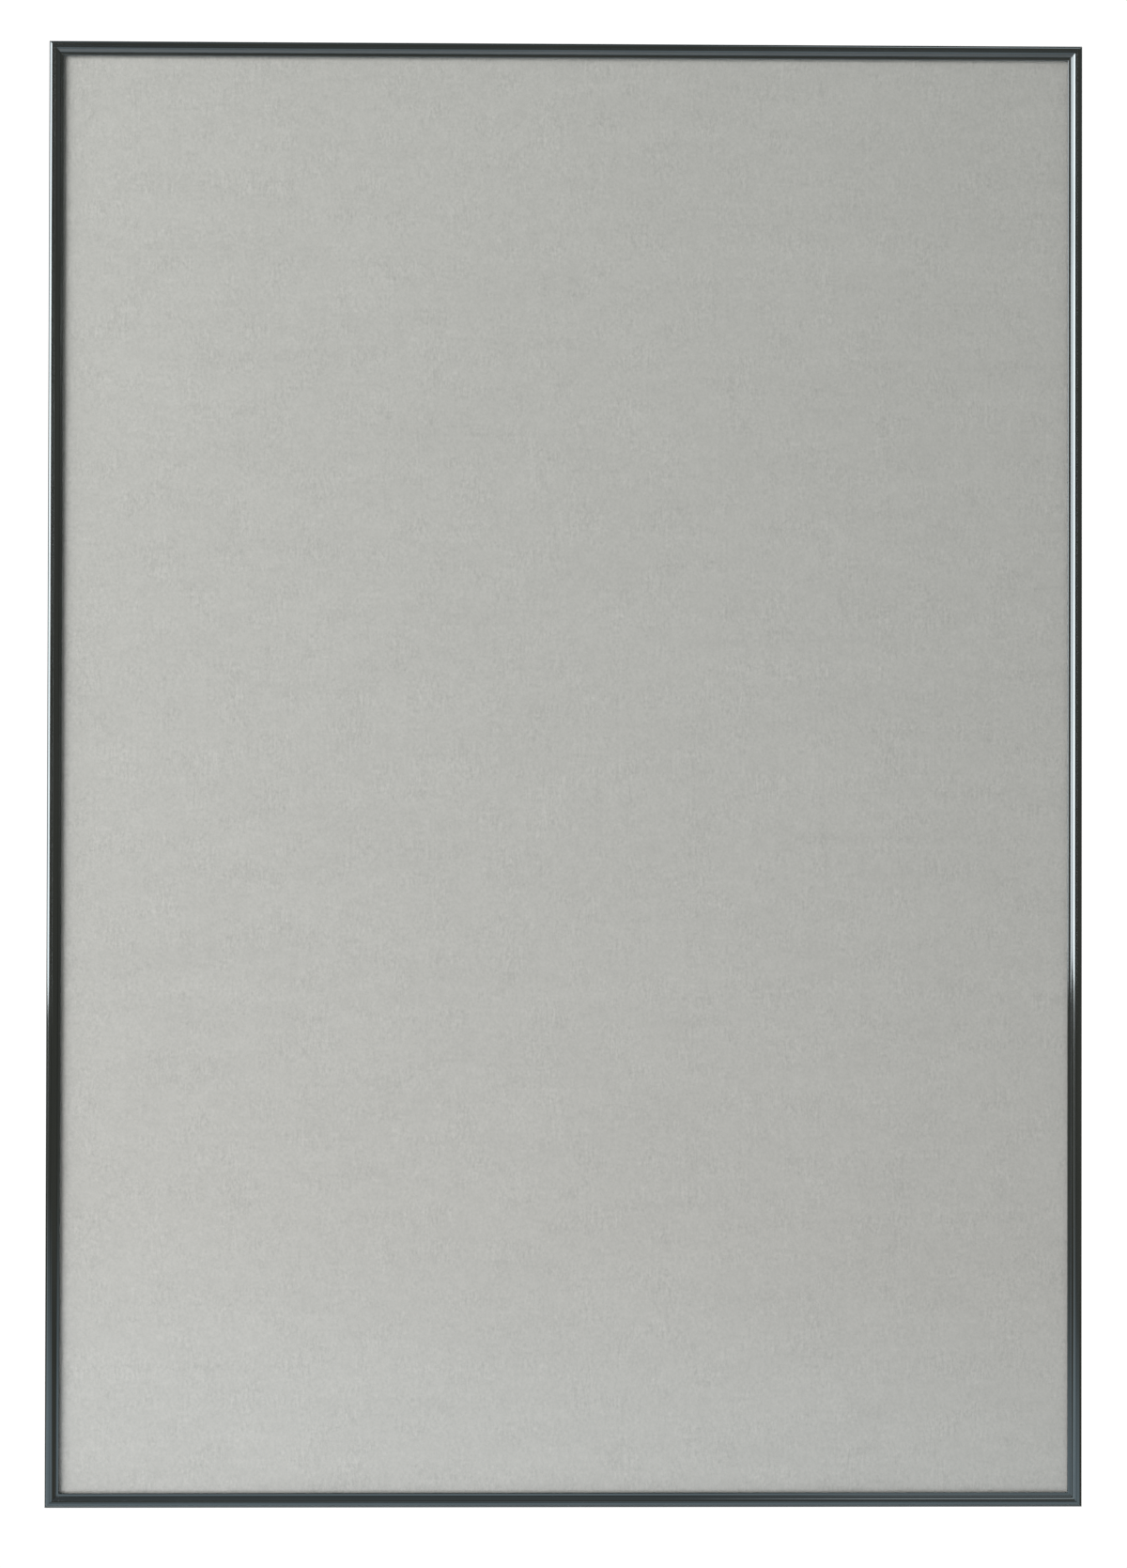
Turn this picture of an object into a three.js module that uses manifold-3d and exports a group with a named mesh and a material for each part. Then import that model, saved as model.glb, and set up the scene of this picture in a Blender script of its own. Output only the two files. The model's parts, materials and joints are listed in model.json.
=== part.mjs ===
// A slim metal poster frame for a large sheet, seen from the front as a thin moulded border.
// Four mitred rails of one extruded section are held at the corners by screwed angle plates.
// Behind the sight edge lie a clear sheet, a grey display sheet and a backing board,
// pushed forward by bow springs. Loosened, the top rail lifts off with its four angle plates,
// and the sheets draw out upwards. Two hangers clamp anywhere along the side rails.
//
// Millimetres. X runs across the frame, Z runs up, and Y runs from the front back to the wall.
// The origin is on the wall, behind the middle of the frame.

import * as THREE from 'three';
import { mergeVertices } from 'three/addons/utils/BufferGeometryUtils.js';
import Module from 'manifold-3d';

// The sheets that the frame holds
const sheetWidth = 594;
const sheetHeight = 841;
const clearSheetThickness = 2;
const displaySheetThickness = 0.3;
const backingThickness = 3;
const sheetEdgeClearance = 0.3;
const sheetSeatGap = 0.1;

// The front of the rail section, measured inwards from the outer edge and back from the crest
const outerRounding = 1.8;
const bandWidth = 3;
const grooveWidth = 0.5;
const grooveDepth = 0.6;
const ogeeSetBack = 0.15;
const ogeeDrop = 1.85;
const ogeeSteepest = 60;
const ogeeEndSlope = 5;
const lipStep = 0.35;
const lipStepSlope = 0.15;
const lipWidth = 1.35;
const lipThickness = 1.05;
const lipEdgeRounding = 0.6;

// The rest of the rail section
const wall = 1.2;
const springSpace = 4.6;
const flangeThickness = 1.2;
const hardwareSpace = 3.8;
const rearLipThickness = 1.2;
const rearSlotWidth = 5.6;
const rearEdgeRounding = 0.4;
const mitreGap = 0.08;
const arcSteps = 4;

// Angle plates and their set screws, inside the rear channel
const plateWidth = 9;
const plateSideClearance = 0.3;
const plateLegLength = 40;
const tappedPlateThickness = 2.2;
const backingPlateThickness = 0.8;
const plateCornerCut = 2.5;
const plateEndRounding = 1.5;
const plateSeatGap = 0.05;
const setScrewDiameter = 4;
const setScrewProud = 0.7;
const setScrewFromEnd = 13;
const screwHoleClearance = 0.1;
const screwSlotWidth = 0.8;
const screwSlotDepth = 0.9;
const screwTipCone = 0.5;
const roundSides = 24;

// Bow springs, between the backing board and the flange
const springLength = 58;
const springWidth = 12;
const springInset = 2.6;
const springThickness = 0.5;
const springSeatGap = 0.1;
const springCurlRadius = 1.1;
const springCurlAngle = 60;
const springArcSteps = 7;
const springCurlSteps = 4;
const sideSpringPitch = 290;
const endSpringPitch = 300;

// Hangers, each a plate on the back of a side rail, clamped by a screw and a slide nut
const hangerHeight = 205;
const hangerPlateThickness = 1.5;
const hangerFootWidth = 11;
const hangerFootLength = 36;
const hangerEarReach = 24;
const hangerEarHeight = 19;
const hangerRounding = 3;
const hangerFillet = 4;
const hangerEyeWidth = 15;
const hangerEyeHeight = 9;
const hangerEyeRounding = 3;
const hangerEyeFromEdge = 4.5;
const hangerSeatGap = 0.05;
const slideNutLength = 14;
const slideNutThickness = 2.4;
const slideNutRounding = 1;
const hangerScrewFromCentre = 11;
const hangerScrewDiameter = 4;
const hangerScrewHeadDiameter = 7.4;
const hangerScrewHeadHeight = 1.9;
const hangerScrewFloorGap = 0.3;
const hangerScrewHeadRim = 0.8;
const domeSteps = 5;

// Wall bumpers at the two lower corners
const bumperDiameter = 11;
const bumperThickness = 4.2;
const bumperRounding = 1.2;

// Sizes that follow from those above
const outerWidth = sheetWidth + 2 * (sheetEdgeClearance + wall);
const outerHeight = sheetHeight + 2 * (sheetEdgeClearance + wall);
const railWidth = plateWidth + 2 * (plateSideClearance + wall);
const sheetsThickness = clearSheetThickness + displaySheetThickness + backingThickness;
const ogeeEnd = ogeeSetBack + ogeeDrop;
const lipFront = ogeeEnd + lipStep;
const lipBack = lipFront + lipThickness;
const clearSheetFront = lipBack + sheetSeatGap;
const displaySheetFront = clearSheetFront + clearSheetThickness;
const backingFront = displaySheetFront + displaySheetThickness;
const backingBack = clearSheetFront + sheetsThickness;
const flangeFront = backingBack + springSpace;
const flangeBack = flangeFront + flangeThickness;
const rearLipFront = flangeBack + hardwareSpace;
const railDepth = rearLipFront + rearLipThickness;
const frameDepth = railDepth + bumperThickness;
const channelCentre = railWidth / 2;

const degrees = Math.PI / 180;

// A depth is counted back from the front crest, and the wall lies at Y = 0.
function yAtDepth(depth) {
  return depth - frameDepth;
}

// Materials

function metal(name, color, roughness) {
  return new THREE.MeshStandardMaterial({ name, color, roughness, metalness: 1 });
}

function plain(name, color, roughness, extra = {}) {
  return new THREE.MeshStandardMaterial({ name, color, roughness, metalness: 0, ...extra });
}

const finishes = {
  rail: () => metal('gunmetal_anodised', 0x2f3234, 0.18),
  zinc: () => metal('zinc_plated_steel', 0xb4b6b4, 0.38),
  spring: () => metal('blued_spring_steel', 0x4a5058, 0.3),
  blackScrew: () => metal('black_oxide_steel', 0x1f1f20, 0.4),
  clear: () => plain('clear_sheet', 0xe9f1f0, 0.05, { transparent: true, opacity: 0.2 }),
  paper: () => plain('grey_embossed_paper', 0xb6b9b4, 0.75),
  board: () => plain('hardboard', 0x8a6a48, 0.8),
  rubber: () => plain('dark_rubber', 0x2a2a2b, 0.9),
};

function piece(name, geometry, finish) {
  const mesh = new THREE.Mesh(geometry, finishes[finish]());
  mesh.name = name;
  return mesh;
}

// Cutting one solid from another

const wasm = await Module();
wasm.setup();

function solidFrom(geometry) {
  const bare = geometry.clone();
  bare.deleteAttribute('normal');
  bare.deleteAttribute('uv');
  const merged = mergeVertices(bare, 1e-4);
  const corners = merged.index.array;
  const kept = [];
  for (let i = 0; i < corners.length; i += 3) {
    const [a, b, c] = [corners[i], corners[i + 1], corners[i + 2]];
    if (a !== b && b !== c && c !== a) kept.push(a, b, c);
  }
  const vertProperties = new Float32Array(merged.attributes.position.array);
  const triVerts = new Uint32Array(kept);
  return new wasm.Manifold(new wasm.Mesh({ numProp: 3, vertProperties, triVerts }));
}

function cut(geometry, ...tools) {
  let solid = solidFrom(geometry);
  for (const tool of tools) solid = solid.subtract(solidFrom(tool));
  const mesh = solid.getMesh();
  const result = new THREE.BufferGeometry();
  result.setAttribute('position', new THREE.Float32BufferAttribute(mesh.vertProperties, 3));
  result.setIndex(Array.from(mesh.triVerts));
  return result;
}

// An outline drawn in X and Z, as thick as asked, whose front face is at the given depth.
function flatPlate(outline, holes, thickness, frontDepth) {
  const shape = new THREE.Shape(outline.getPoints(arcSteps));
  shape.holes.push(...holes);
  const options = { depth: thickness, bevelEnabled: false };
  const geometry = new THREE.ExtrudeGeometry(shape, options);
  geometry.rotateX(Math.PI / 2);
  geometry.translate(0, yAtDepth(frontDepth + thickness), 0);
  return geometry;
}

// A body of revolution about a line along Y. Each profile point is a radius and a depth.
function turned(profile) {
  const points = profile.map(([radius, depth]) => new THREE.Vector2(radius, yAtDepth(depth)));
  return new THREE.LatheGeometry(points, roundSides);
}

// The rounded back edge of a turned body, from its side at the given radius to its back face.
function quarterRound(radius, back, rounding) {
  const points = [];
  for (let i = 0; i <= domeSteps; i += 1) {
    const angle = (i / domeSteps) * Math.PI / 2;
    points.push([radius - rounding * (1 - Math.cos(angle)),
      back - rounding * (1 - Math.sin(angle))]);
  }
  return points;
}

function roundHole(diameter, x, z) {
  const circle = new THREE.Path();
  circle.absarc(x, z, diameter / 2, 0, 2 * Math.PI, false);
  return new THREE.Path(circle.getPoints(roundSides / 2));
}

function roundedBox(width, height, radius, centreX = 0, centreZ = 0) {
  const path = new THREE.Path();
  const left = centreX - width / 2;
  const right = centreX + width / 2;
  const low = centreZ - height / 2;
  const high = centreZ + height / 2;
  path.moveTo(left + radius, low);
  path.lineTo(right - radius, low);
  path.absarc(right - radius, low + radius, radius, -Math.PI / 2, 0, false);
  path.lineTo(right, high - radius);
  path.absarc(right - radius, high - radius, radius, 0, Math.PI / 2, false);
  path.lineTo(left + radius, high);
  path.absarc(left + radius, high - radius, radius, Math.PI / 2, Math.PI, false);
  path.lineTo(left, low + radius);
  path.absarc(left + radius, low + radius, radius, Math.PI, 1.5 * Math.PI, false);
  return path;
}

// The rail section, drawn with X as depth and Y as the distance in from the outer edge.

// The ogee swells out of the groove and then hollows towards the lip. Returns where it ends.
function traceOgee(shape, start) {
  const steepest = ogeeSteepest * degrees;
  const last = ogeeEndSlope * degrees;
  const radius = ogeeDrop / (1 + Math.cos(last) - 2 * Math.cos(steepest));
  const turn = start + radius * Math.sin(steepest);
  const hollowCentre = turn + radius * Math.sin(steepest);
  shape.absarc(ogeeSetBack + radius, start, radius, Math.PI, Math.PI - steepest, true);
  shape.absarc(ogeeEnd - radius * Math.cos(last), hollowCentre, radius, -steepest, -last, false);
  return hollowCentre - radius * Math.sin(last);
}

function traceFace(shape) {
  const ogeeStart = bandWidth + grooveWidth;
  shape.lineTo(outerRounding, 0);
  shape.absarc(outerRounding, outerRounding, outerRounding, -Math.PI / 2, -Math.PI, true);
  shape.lineTo(0, bandWidth);
  shape.lineTo(grooveDepth, bandWidth);
  shape.lineTo(grooveDepth, ogeeStart);
  const lipStart = traceOgee(shape, ogeeStart) + lipStepSlope;
  const sightEdge = lipStart + lipWidth;
  shape.lineTo(lipFront, lipStart);
  shape.lineTo(lipFront, sightEdge - lipEdgeRounding);
  shape.absarc(lipFront + lipEdgeRounding, sightEdge - lipEdgeRounding, lipEdgeRounding,
    Math.PI, Math.PI / 2, true);
  shape.lineTo(lipBack, sightEdge);
}

function railSection() {
  const shape = new THREE.Shape();
  const slotLow = channelCentre - rearSlotWidth / 2;
  const slotHigh = channelCentre + rearSlotWidth / 2;
  const inner = railWidth - wall;
  const round = rearEdgeRounding;
  shape.moveTo(railDepth - round, 0);
  traceFace(shape);
  shape.lineTo(lipBack, wall);
  shape.lineTo(flangeFront, wall);
  shape.lineTo(flangeFront, railWidth);
  shape.lineTo(railDepth - round, railWidth);
  shape.absarc(railDepth - round, railWidth - round, round, Math.PI / 2, 0, true);
  shape.lineTo(railDepth, slotHigh);
  shape.lineTo(rearLipFront, slotHigh);
  shape.lineTo(rearLipFront, inner);
  shape.lineTo(flangeBack, inner);
  shape.lineTo(flangeBack, wall);
  shape.lineTo(rearLipFront, wall);
  shape.lineTo(rearLipFront, slotLow);
  shape.lineTo(railDepth, slotLow);
  shape.lineTo(railDepth, round);
  shape.absarc(railDepth - round, round, round, 0, -Math.PI / 2, true);
  return shape;
}

// In a rail's own frame X runs along it, Y is depth and Z runs inwards from its outer edge.
// Each end is cut at 45 degrees, so a point is drawn back by its distance from the outer edge.
function railGeometry(length) {
  const options = { depth: 1, bevelEnabled: false, curveSegments: arcSteps };
  const geometry = new THREE.ExtrudeGeometry(railSection(), options);
  const points = geometry.attributes.position;
  for (let i = 0; i < points.count; i += 1) {
    const depth = points.getX(i);
    const inwards = points.getY(i);
    const end = points.getZ(i) > 0.5 ? 1 : -1;
    const halfLength = length / 2 - mitreGap / 2 - inwards;
    points.setXYZ(i, end * halfLength, yAtDepth(depth), inwards);
  }
  return geometry;
}

// A bow spring is a strip that touches the backing board at its middle and the flange near
// its ends, which curl forward again. Its centre line is a wide arc and a small arc each side.
function springLine() {
  const front = backingBack + springSeatGap;
  const back = flangeFront - springSeatGap;
  const half = springLength / 2;
  const rise = back - front - springThickness;
  const wideRadius = (half * half + rise * rise) / (2 * rise) - springCurlRadius;
  const wideAngle = Math.atan2(half, wideRadius + springCurlRadius - rise);
  const middle = front + springThickness / 2;
  const line = [];
  for (let i = 1; i <= springArcSteps; i += 1) {
    const heading = wideAngle * (i / springArcSteps);
    line.push([wideRadius * Math.sin(heading), middle + wideRadius * (1 - Math.cos(heading)),
      heading]);
  }
  const [endX, endDepth] = line[line.length - 1];
  const curlX = endX + springCurlRadius * Math.sin(wideAngle);
  const curlDepth = endDepth - springCurlRadius * Math.cos(wideAngle);
  for (let i = 1; i <= springCurlSteps; i += 1) {
    const heading = wideAngle - springCurlAngle * degrees * (i / springCurlSteps);
    line.push([curlX - springCurlRadius * Math.sin(heading),
      curlDepth + springCurlRadius * Math.cos(heading), heading]);
  }
  const before = line.map(([x, depth, heading]) => [-x, depth, -heading]).reverse();
  return [...before, [0, middle, 0], ...line];
}

function bowSpringGeometry() {
  const line = springLine();
  const edge = (offset) => line.map(([x, depth, heading]) => new THREE.Vector2(
    x - offset * Math.sin(heading), depth + offset * Math.cos(heading)));
  const frontEdge = edge(-springThickness / 2);
  const backEdge = edge(springThickness / 2);
  const shape = new THREE.Shape([...frontEdge, ...backEdge.reverse()]);
  const options = { depth: springWidth, bevelEnabled: false };
  const geometry = new THREE.ExtrudeGeometry(shape, options);
  geometry.translate(0, yAtDepth(0), springInset);
  return geometry;
}

function railWithSprings(side, length, springPlaces) {
  const group = new THREE.Group();
  group.add(piece(`${side}_rail`, railGeometry(length), 'rail'));
  springPlaces.forEach((place, index) => {
    const spring = piece(`${side}_bow_spring_${index + 1}`, bowSpringGeometry(), 'spring');
    spring.position.x = place;
    group.add(spring);
  });
  return group;
}

function rails() {
  const group = new THREE.Group();
  const sidePlaces = [-sideSpringPitch, 0, sideSpringPitch];
  const endPlaces = [-endSpringPitch / 2, endSpringPitch / 2];
  const bottom = railWithSprings('bottom', outerWidth, endPlaces);
  bottom.position.z = -outerHeight / 2;
  const top = railWithSprings('top', outerWidth, endPlaces);
  top.position.z = outerHeight / 2;
  top.rotation.y = Math.PI;
  const left = railWithSprings('left', outerHeight, sidePlaces);
  left.position.x = -outerWidth / 2;
  left.rotation.y = Math.PI / 2;
  const right = railWithSprings('right', outerHeight, sidePlaces);
  right.position.x = outerWidth / 2;
  right.rotation.y = -Math.PI / 2;
  group.add(bottom, top, left, right);
  return group;
}

// Angle plates. In a corner's own frame the legs run along +X and +Z from the frame's corner.

function angleOutline() {
  const near = wall + plateSideClearance;
  const far = near + plateWidth;
  const end = near + plateLegLength;
  const round = plateEndRounding;
  const shape = new THREE.Path();
  shape.moveTo(near + plateCornerCut, near);
  shape.lineTo(end - round, near);
  shape.absarc(end - round, near + round, round, -Math.PI / 2, 0, false);
  shape.lineTo(end, far - round);
  shape.absarc(end - round, far - round, round, 0, Math.PI / 2, false);
  shape.lineTo(far, far);
  shape.lineTo(far, end - round);
  shape.absarc(far - round, end - round, round, 0, Math.PI / 2, false);
  shape.lineTo(near + round, end);
  shape.absarc(near + round, end - round, round, Math.PI / 2, Math.PI, false);
  shape.lineTo(near, near + plateCornerCut);
  return shape;
}

function setScrewPlaces() {
  const along = wall + plateSideClearance + plateLegLength - setScrewFromEnd;
  return { across: [along, channelCentre], upright: [channelCentre, along] };
}

function setScrewGeometry() {
  const radius = setScrewDiameter / 2;
  const tip = flangeBack + plateSeatGap + backingPlateThickness + plateSeatGap;
  const end = rearLipFront + setScrewProud;
  const body = turned([
    [0, tip],
    [radius - screwTipCone, tip],
    [radius, tip + screwTipCone],
    [radius, end],
    [0, end],
  ]);
  const slot = new THREE.BoxGeometry(2 * setScrewDiameter, 2 * screwSlotDepth, screwSlotWidth);
  slot.translate(0, yAtDepth(end), 0);
  return cut(body, slot);
}

function cornerHardware(name, turn, x, z) {
  const group = new THREE.Group();
  group.position.set(x, 0, z);
  group.rotation.y = turn;
  const places = setScrewPlaces();
  const holeDiameter = setScrewDiameter + 2 * screwHoleClearance;
  const holes = Object.values(places).map(([along, up]) => roundHole(holeDiameter, along, up));
  const tappedFront = rearLipFront - plateSeatGap - tappedPlateThickness;
  group.add(piece(`${name}_tapped_angle`,
    flatPlate(angleOutline(), holes, tappedPlateThickness, tappedFront), 'zinc'));
  group.add(piece(`${name}_backing_angle`,
    flatPlate(angleOutline(), [], backingPlateThickness, flangeBack + plateSeatGap), 'zinc'));
  for (const [leg, [along, up]] of Object.entries(places)) {
    const screw = piece(`${name}_set_screw_${leg}`, setScrewGeometry(), 'blackScrew');
    screw.position.set(along, 0, up);
    group.add(screw);
  }
  return group;
}

function corners() {
  const group = new THREE.Group();
  const x = outerWidth / 2;
  const z = outerHeight / 2;
  group.add(cornerHardware('bottom_left', 0, -x, -z));
  group.add(cornerHardware('bottom_right', -Math.PI / 2, x, -z));
  group.add(cornerHardware('top_right', Math.PI, x, z));
  group.add(cornerHardware('top_left', Math.PI / 2, -x, z));
  return group;
}

// The sheets

function sheetGeometry(thickness, frontDepth) {
  const geometry = new THREE.BoxGeometry(sheetWidth, thickness, sheetHeight);
  geometry.translate(0, yAtDepth(frontDepth + thickness / 2), 0);
  return geometry;
}

function sheets() {
  const group = new THREE.Group();
  group.add(piece('clear_sheet', sheetGeometry(clearSheetThickness, clearSheetFront), 'clear'));
  group.add(piece('display_sheet',
    sheetGeometry(displaySheetThickness, displaySheetFront), 'paper'));
  group.add(piece('backing_board', sheetGeometry(backingThickness, backingFront), 'board'));
  return group;
}

// Hangers. The plate is drawn for the right rail, and mirrored in its outline for the left.

function hangerOutline(mirror) {
  const outer = channelCentre - hangerFootWidth / 2;
  const foot = outer + hangerFootWidth;
  const reach = foot + hangerEarReach;
  const halfFoot = hangerFootLength / 2;
  const halfEar = hangerEarHeight / 2;
  const round = hangerRounding;
  const points = new THREE.Path();
  points.moveTo(outer + round, -halfFoot);
  points.lineTo(foot - round, -halfFoot);
  points.absarc(foot - round, -halfFoot + round, round, -Math.PI / 2, 0, false);
  points.lineTo(foot, -halfEar - hangerFillet);
  points.absarc(foot + hangerFillet, -halfEar - hangerFillet, hangerFillet,
    Math.PI, Math.PI / 2, true);
  points.lineTo(reach - round, -halfEar);
  points.absarc(reach - round, -halfEar + round, round, -Math.PI / 2, 0, false);
  points.lineTo(reach, halfEar - round);
  points.absarc(reach - round, halfEar - round, round, 0, Math.PI / 2, false);
  points.lineTo(foot + hangerFillet, halfEar);
  points.absarc(foot + hangerFillet, halfEar + hangerFillet, hangerFillet,
    -Math.PI / 2, -Math.PI, true);
  points.lineTo(foot, halfFoot - round);
  points.absarc(foot - round, halfFoot - round, round, 0, Math.PI / 2, false);
  points.lineTo(outer + round, halfFoot);
  points.absarc(outer + round, halfFoot - round, round, Math.PI / 2, Math.PI, false);
  points.lineTo(outer, -halfFoot + round);
  points.absarc(outer + round, -halfFoot + round, round, Math.PI, 1.5 * Math.PI, false);
  return mirrored(points, mirror);
}

// A mirrored outline runs the other way round, so its points are put back in order.
function mirrored(path, mirror) {
  const placed = path.getPoints(arcSteps).map(({ x, y }) => new THREE.Vector2(mirror * x, y));
  return new THREE.Path(mirror < 0 ? placed.reverse() : placed);
}

function hangerEye(mirror) {
  const reach = channelCentre + hangerFootWidth / 2 + hangerEarReach;
  const centre = reach - hangerEyeFromEdge - hangerEyeWidth / 2;
  return mirrored(roundedBox(hangerEyeWidth, hangerEyeHeight, hangerEyeRounding, centre), mirror);
}

function hangerScrewHole(mirror) {
  const diameter = hangerScrewDiameter + 2 * screwHoleClearance;
  return roundHole(diameter, mirror * channelCentre, hangerScrewFromCentre);
}

function hangerPlateGeometry(mirror) {
  const holes = [hangerEye(mirror), hangerScrewHole(mirror)];
  return flatPlate(hangerOutline(mirror), holes, hangerPlateThickness, railDepth + hangerSeatGap);
}

function slideNutGeometry(mirror) {
  const outline = roundedBox(plateWidth, slideNutLength, slideNutRounding,
    mirror * channelCentre, hangerScrewFromCentre);
  const front = rearLipFront - hangerSeatGap - slideNutThickness;
  return flatPlate(outline, [hangerScrewHole(mirror)], slideNutThickness, front);
}

function hangerScrewGeometry() {
  const radius = hangerScrewDiameter / 2;
  const headRadius = hangerScrewHeadDiameter / 2;
  const tip = flangeBack + hangerScrewFloorGap;
  const seat = railDepth + 2 * hangerSeatGap + hangerPlateThickness;
  const top = seat + hangerScrewHeadHeight;
  const profile = [
    [0, tip],
    [radius - screwTipCone, tip],
    [radius, tip + screwTipCone],
    [radius, seat],
    [headRadius, seat],
    ...quarterRound(headRadius, top, hangerScrewHeadHeight - hangerScrewHeadRim),
    [0, top],
  ];
  const slot = new THREE.BoxGeometry(2 * hangerScrewHeadDiameter, 2 * screwSlotDepth,
    screwSlotWidth);
  slot.translate(0, yAtDepth(top), 0);
  return cut(turned(profile), slot);
}

function hanger(side, mirror) {
  const group = new THREE.Group();
  group.position.set(-mirror * outerWidth / 2, 0, hangerHeight);
  group.add(piece(`${side}_hanger_plate`, hangerPlateGeometry(mirror), 'zinc'));
  group.add(piece(`${side}_hanger_nut`, slideNutGeometry(mirror), 'zinc'));
  const screw = piece(`${side}_hanger_screw`, hangerScrewGeometry(), 'zinc');
  screw.position.set(mirror * channelCentre, 0, hangerScrewFromCentre);
  group.add(screw);
  return group;
}

// Bumpers, stuck over the mitres of the two lower corners

function bumper(side, mirror) {
  const radius = bumperDiameter / 2;
  const back = railDepth + bumperThickness;
  const geometry = turned([
    [0, railDepth],
    [radius, railDepth],
    ...quarterRound(radius, back, bumperRounding),
    [0, back],
  ]);
  const mesh = piece(`${side}_wall_bumper`, geometry, 'rubber');
  mesh.position.x = -mirror * (outerWidth / 2 - channelCentre);
  mesh.position.z = -outerHeight / 2 + channelCentre;
  return mesh;
}

const posterFrame = new THREE.Group();
posterFrame.name = 'poster_frame';
posterFrame.add(rails(), corners(), sheets());
posterFrame.add(hanger('left', 1), hanger('right', -1));
posterFrame.add(bumper('left', 1), bumper('right', -1));

export default posterFrame;
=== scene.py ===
# %% [markdown]
# A slim metal poster frame
#
# The object is an upright frame, about 600 mm wide and 844 mm high, round a light grey embossed sheet.
# Its four rails are one extruded and mitred metal section in a dark, glossy finish. Behind its thin sight
# edge lie a clear sheet, the grey sheet and a hardboard back, and the rails' rear channel holds the corner
# angles, their screws and two hangers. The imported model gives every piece's place and size, so this lesson
# only makes the fine surfaces and the finishes, lights them and sets the camera.

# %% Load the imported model
import json
import math

import bmesh
import bpy
from mathutils import Matrix, Vector, noise


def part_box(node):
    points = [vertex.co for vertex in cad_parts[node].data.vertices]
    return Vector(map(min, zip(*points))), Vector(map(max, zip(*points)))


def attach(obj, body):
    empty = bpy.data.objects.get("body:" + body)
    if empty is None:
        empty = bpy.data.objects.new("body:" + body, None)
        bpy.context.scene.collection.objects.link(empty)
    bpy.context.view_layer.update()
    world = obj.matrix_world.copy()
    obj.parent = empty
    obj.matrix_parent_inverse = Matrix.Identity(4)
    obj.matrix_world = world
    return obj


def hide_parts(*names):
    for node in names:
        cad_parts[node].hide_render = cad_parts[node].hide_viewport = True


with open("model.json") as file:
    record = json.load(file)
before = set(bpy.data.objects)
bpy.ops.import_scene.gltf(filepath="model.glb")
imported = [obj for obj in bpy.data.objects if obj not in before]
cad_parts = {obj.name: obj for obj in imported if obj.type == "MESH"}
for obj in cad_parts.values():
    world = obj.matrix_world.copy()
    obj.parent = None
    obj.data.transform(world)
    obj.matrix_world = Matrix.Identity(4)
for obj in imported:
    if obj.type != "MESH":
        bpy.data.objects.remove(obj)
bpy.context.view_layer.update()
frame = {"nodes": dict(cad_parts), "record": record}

mm = 0.001


def in_mm(length):
    """A packed length in millimetres, to the nearest thousandth."""
    return round(length / mm, 3)


print("packed pieces:", len(frame["nodes"]))

# %% [markdown]
# Where each piece belongs
#
# Every new piece stands for a packed one and moves with the same body. The body could be typed again
# beside each piece, but it is in the imported record, and what is looked up there can't be mistyped.

# %% Look up bodies
body_of_node = {}
for body, names in frame["record"]["behaviour"]["bodies"].items():
    for name in names:
        body_of_node[name] = body


def stand_for(piece, node):
    """The piece takes the node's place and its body."""
    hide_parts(node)
    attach(piece, body_of_node[node])
    return piece


print("bodies:", sorted(set(body_of_node.values())))

# %% [markdown]
# The camera
#
# The photograph is a studio view from straight ahead, with the frame's four corners close to the picture's
# edges. Its place and its small turns were worked out from where those corners fall, for a lens of about
# 60 mm. It could be aimed with a track constraint, but a matrix made of its three directions also holds the
# slight roll, and says exactly what each number does.

# %% Set the camera
picture_height = 1669
focal_pixels = 2803
camera_place = Vector((-19.9, -1540.4, -17.2)) * mm
turn_right = math.radians(0.703)
turn_up = math.radians(0.431)
roll = math.radians(0.112)

ahead = Vector((math.sin(turn_right) * math.cos(turn_up),
                math.cos(turn_right) * math.cos(turn_up),
                math.sin(turn_up)))
level_right = Vector((math.cos(turn_right), -math.sin(turn_right), 0))
level_up = level_right.cross(ahead)
right = level_right * math.cos(roll) + level_up * math.sin(roll)
up = level_up * math.cos(roll) - level_right * math.sin(roll)

camera_data = bpy.data.cameras.new("studio_camera")
camera_data.sensor_width = 36
camera_data.lens = camera_data.sensor_width * focal_pixels / picture_height
camera = bpy.data.objects.new("studio_camera", camera_data)
bpy.context.scene.collection.objects.link(camera)
camera.matrix_world = Matrix((right, up, -ahead)).transposed().to_4x4()
camera.location = camera_place
bpy.context.scene.camera = camera
print("lens in mm:", round(camera_data.lens, 1))

# %% [markdown]
# The window
#
# The rails are glossy and dark, so most of what they show is the room. Two long softboxes stand in one line
# to the left, as tall as a window, and the near one is the brighter. Their near end and their low edge
# decide where the bright lines on the side rails lie and where they stop. Each softbox could be turned by
# hand, but one that is told where to aim stays right when it is moved.

# %% Make the window
bpy.context.scene.view_settings.view_transform = "Standard"


def softbox(name, place, aim, width, height, strength, color, mirrored=True, lighting=True):
    """A rectangular area light. Its strength is the brightness of its face."""
    data = bpy.data.lights.new(name, "AREA")
    data.shape = "RECTANGLE"
    data.size = width
    data.size_y = height
    data.energy = strength * math.pi * width * height
    data.color = color
    light = bpy.data.objects.new(name, data)
    bpy.context.scene.collection.objects.link(light)
    direction = Vector(aim) - Vector(place)
    light.rotation_euler = direction.to_track_quat("-Z", "Y").to_euler()
    light.location = place
    light.visible_camera = False
    light.visible_glossy = mirrored
    light.visible_diffuse = lighting
    return light


window_low_edge = -0.3
window_height = 1.7
window_near_end = Vector((-0.88, -2.5))
window_far_end = Vector((-3.9, 0.5))
window_split = 0.5
near_pane_strength = 4.9
far_pane_strength = 2.5
window_color = (0.945, 0.985, 0.985)

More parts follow.
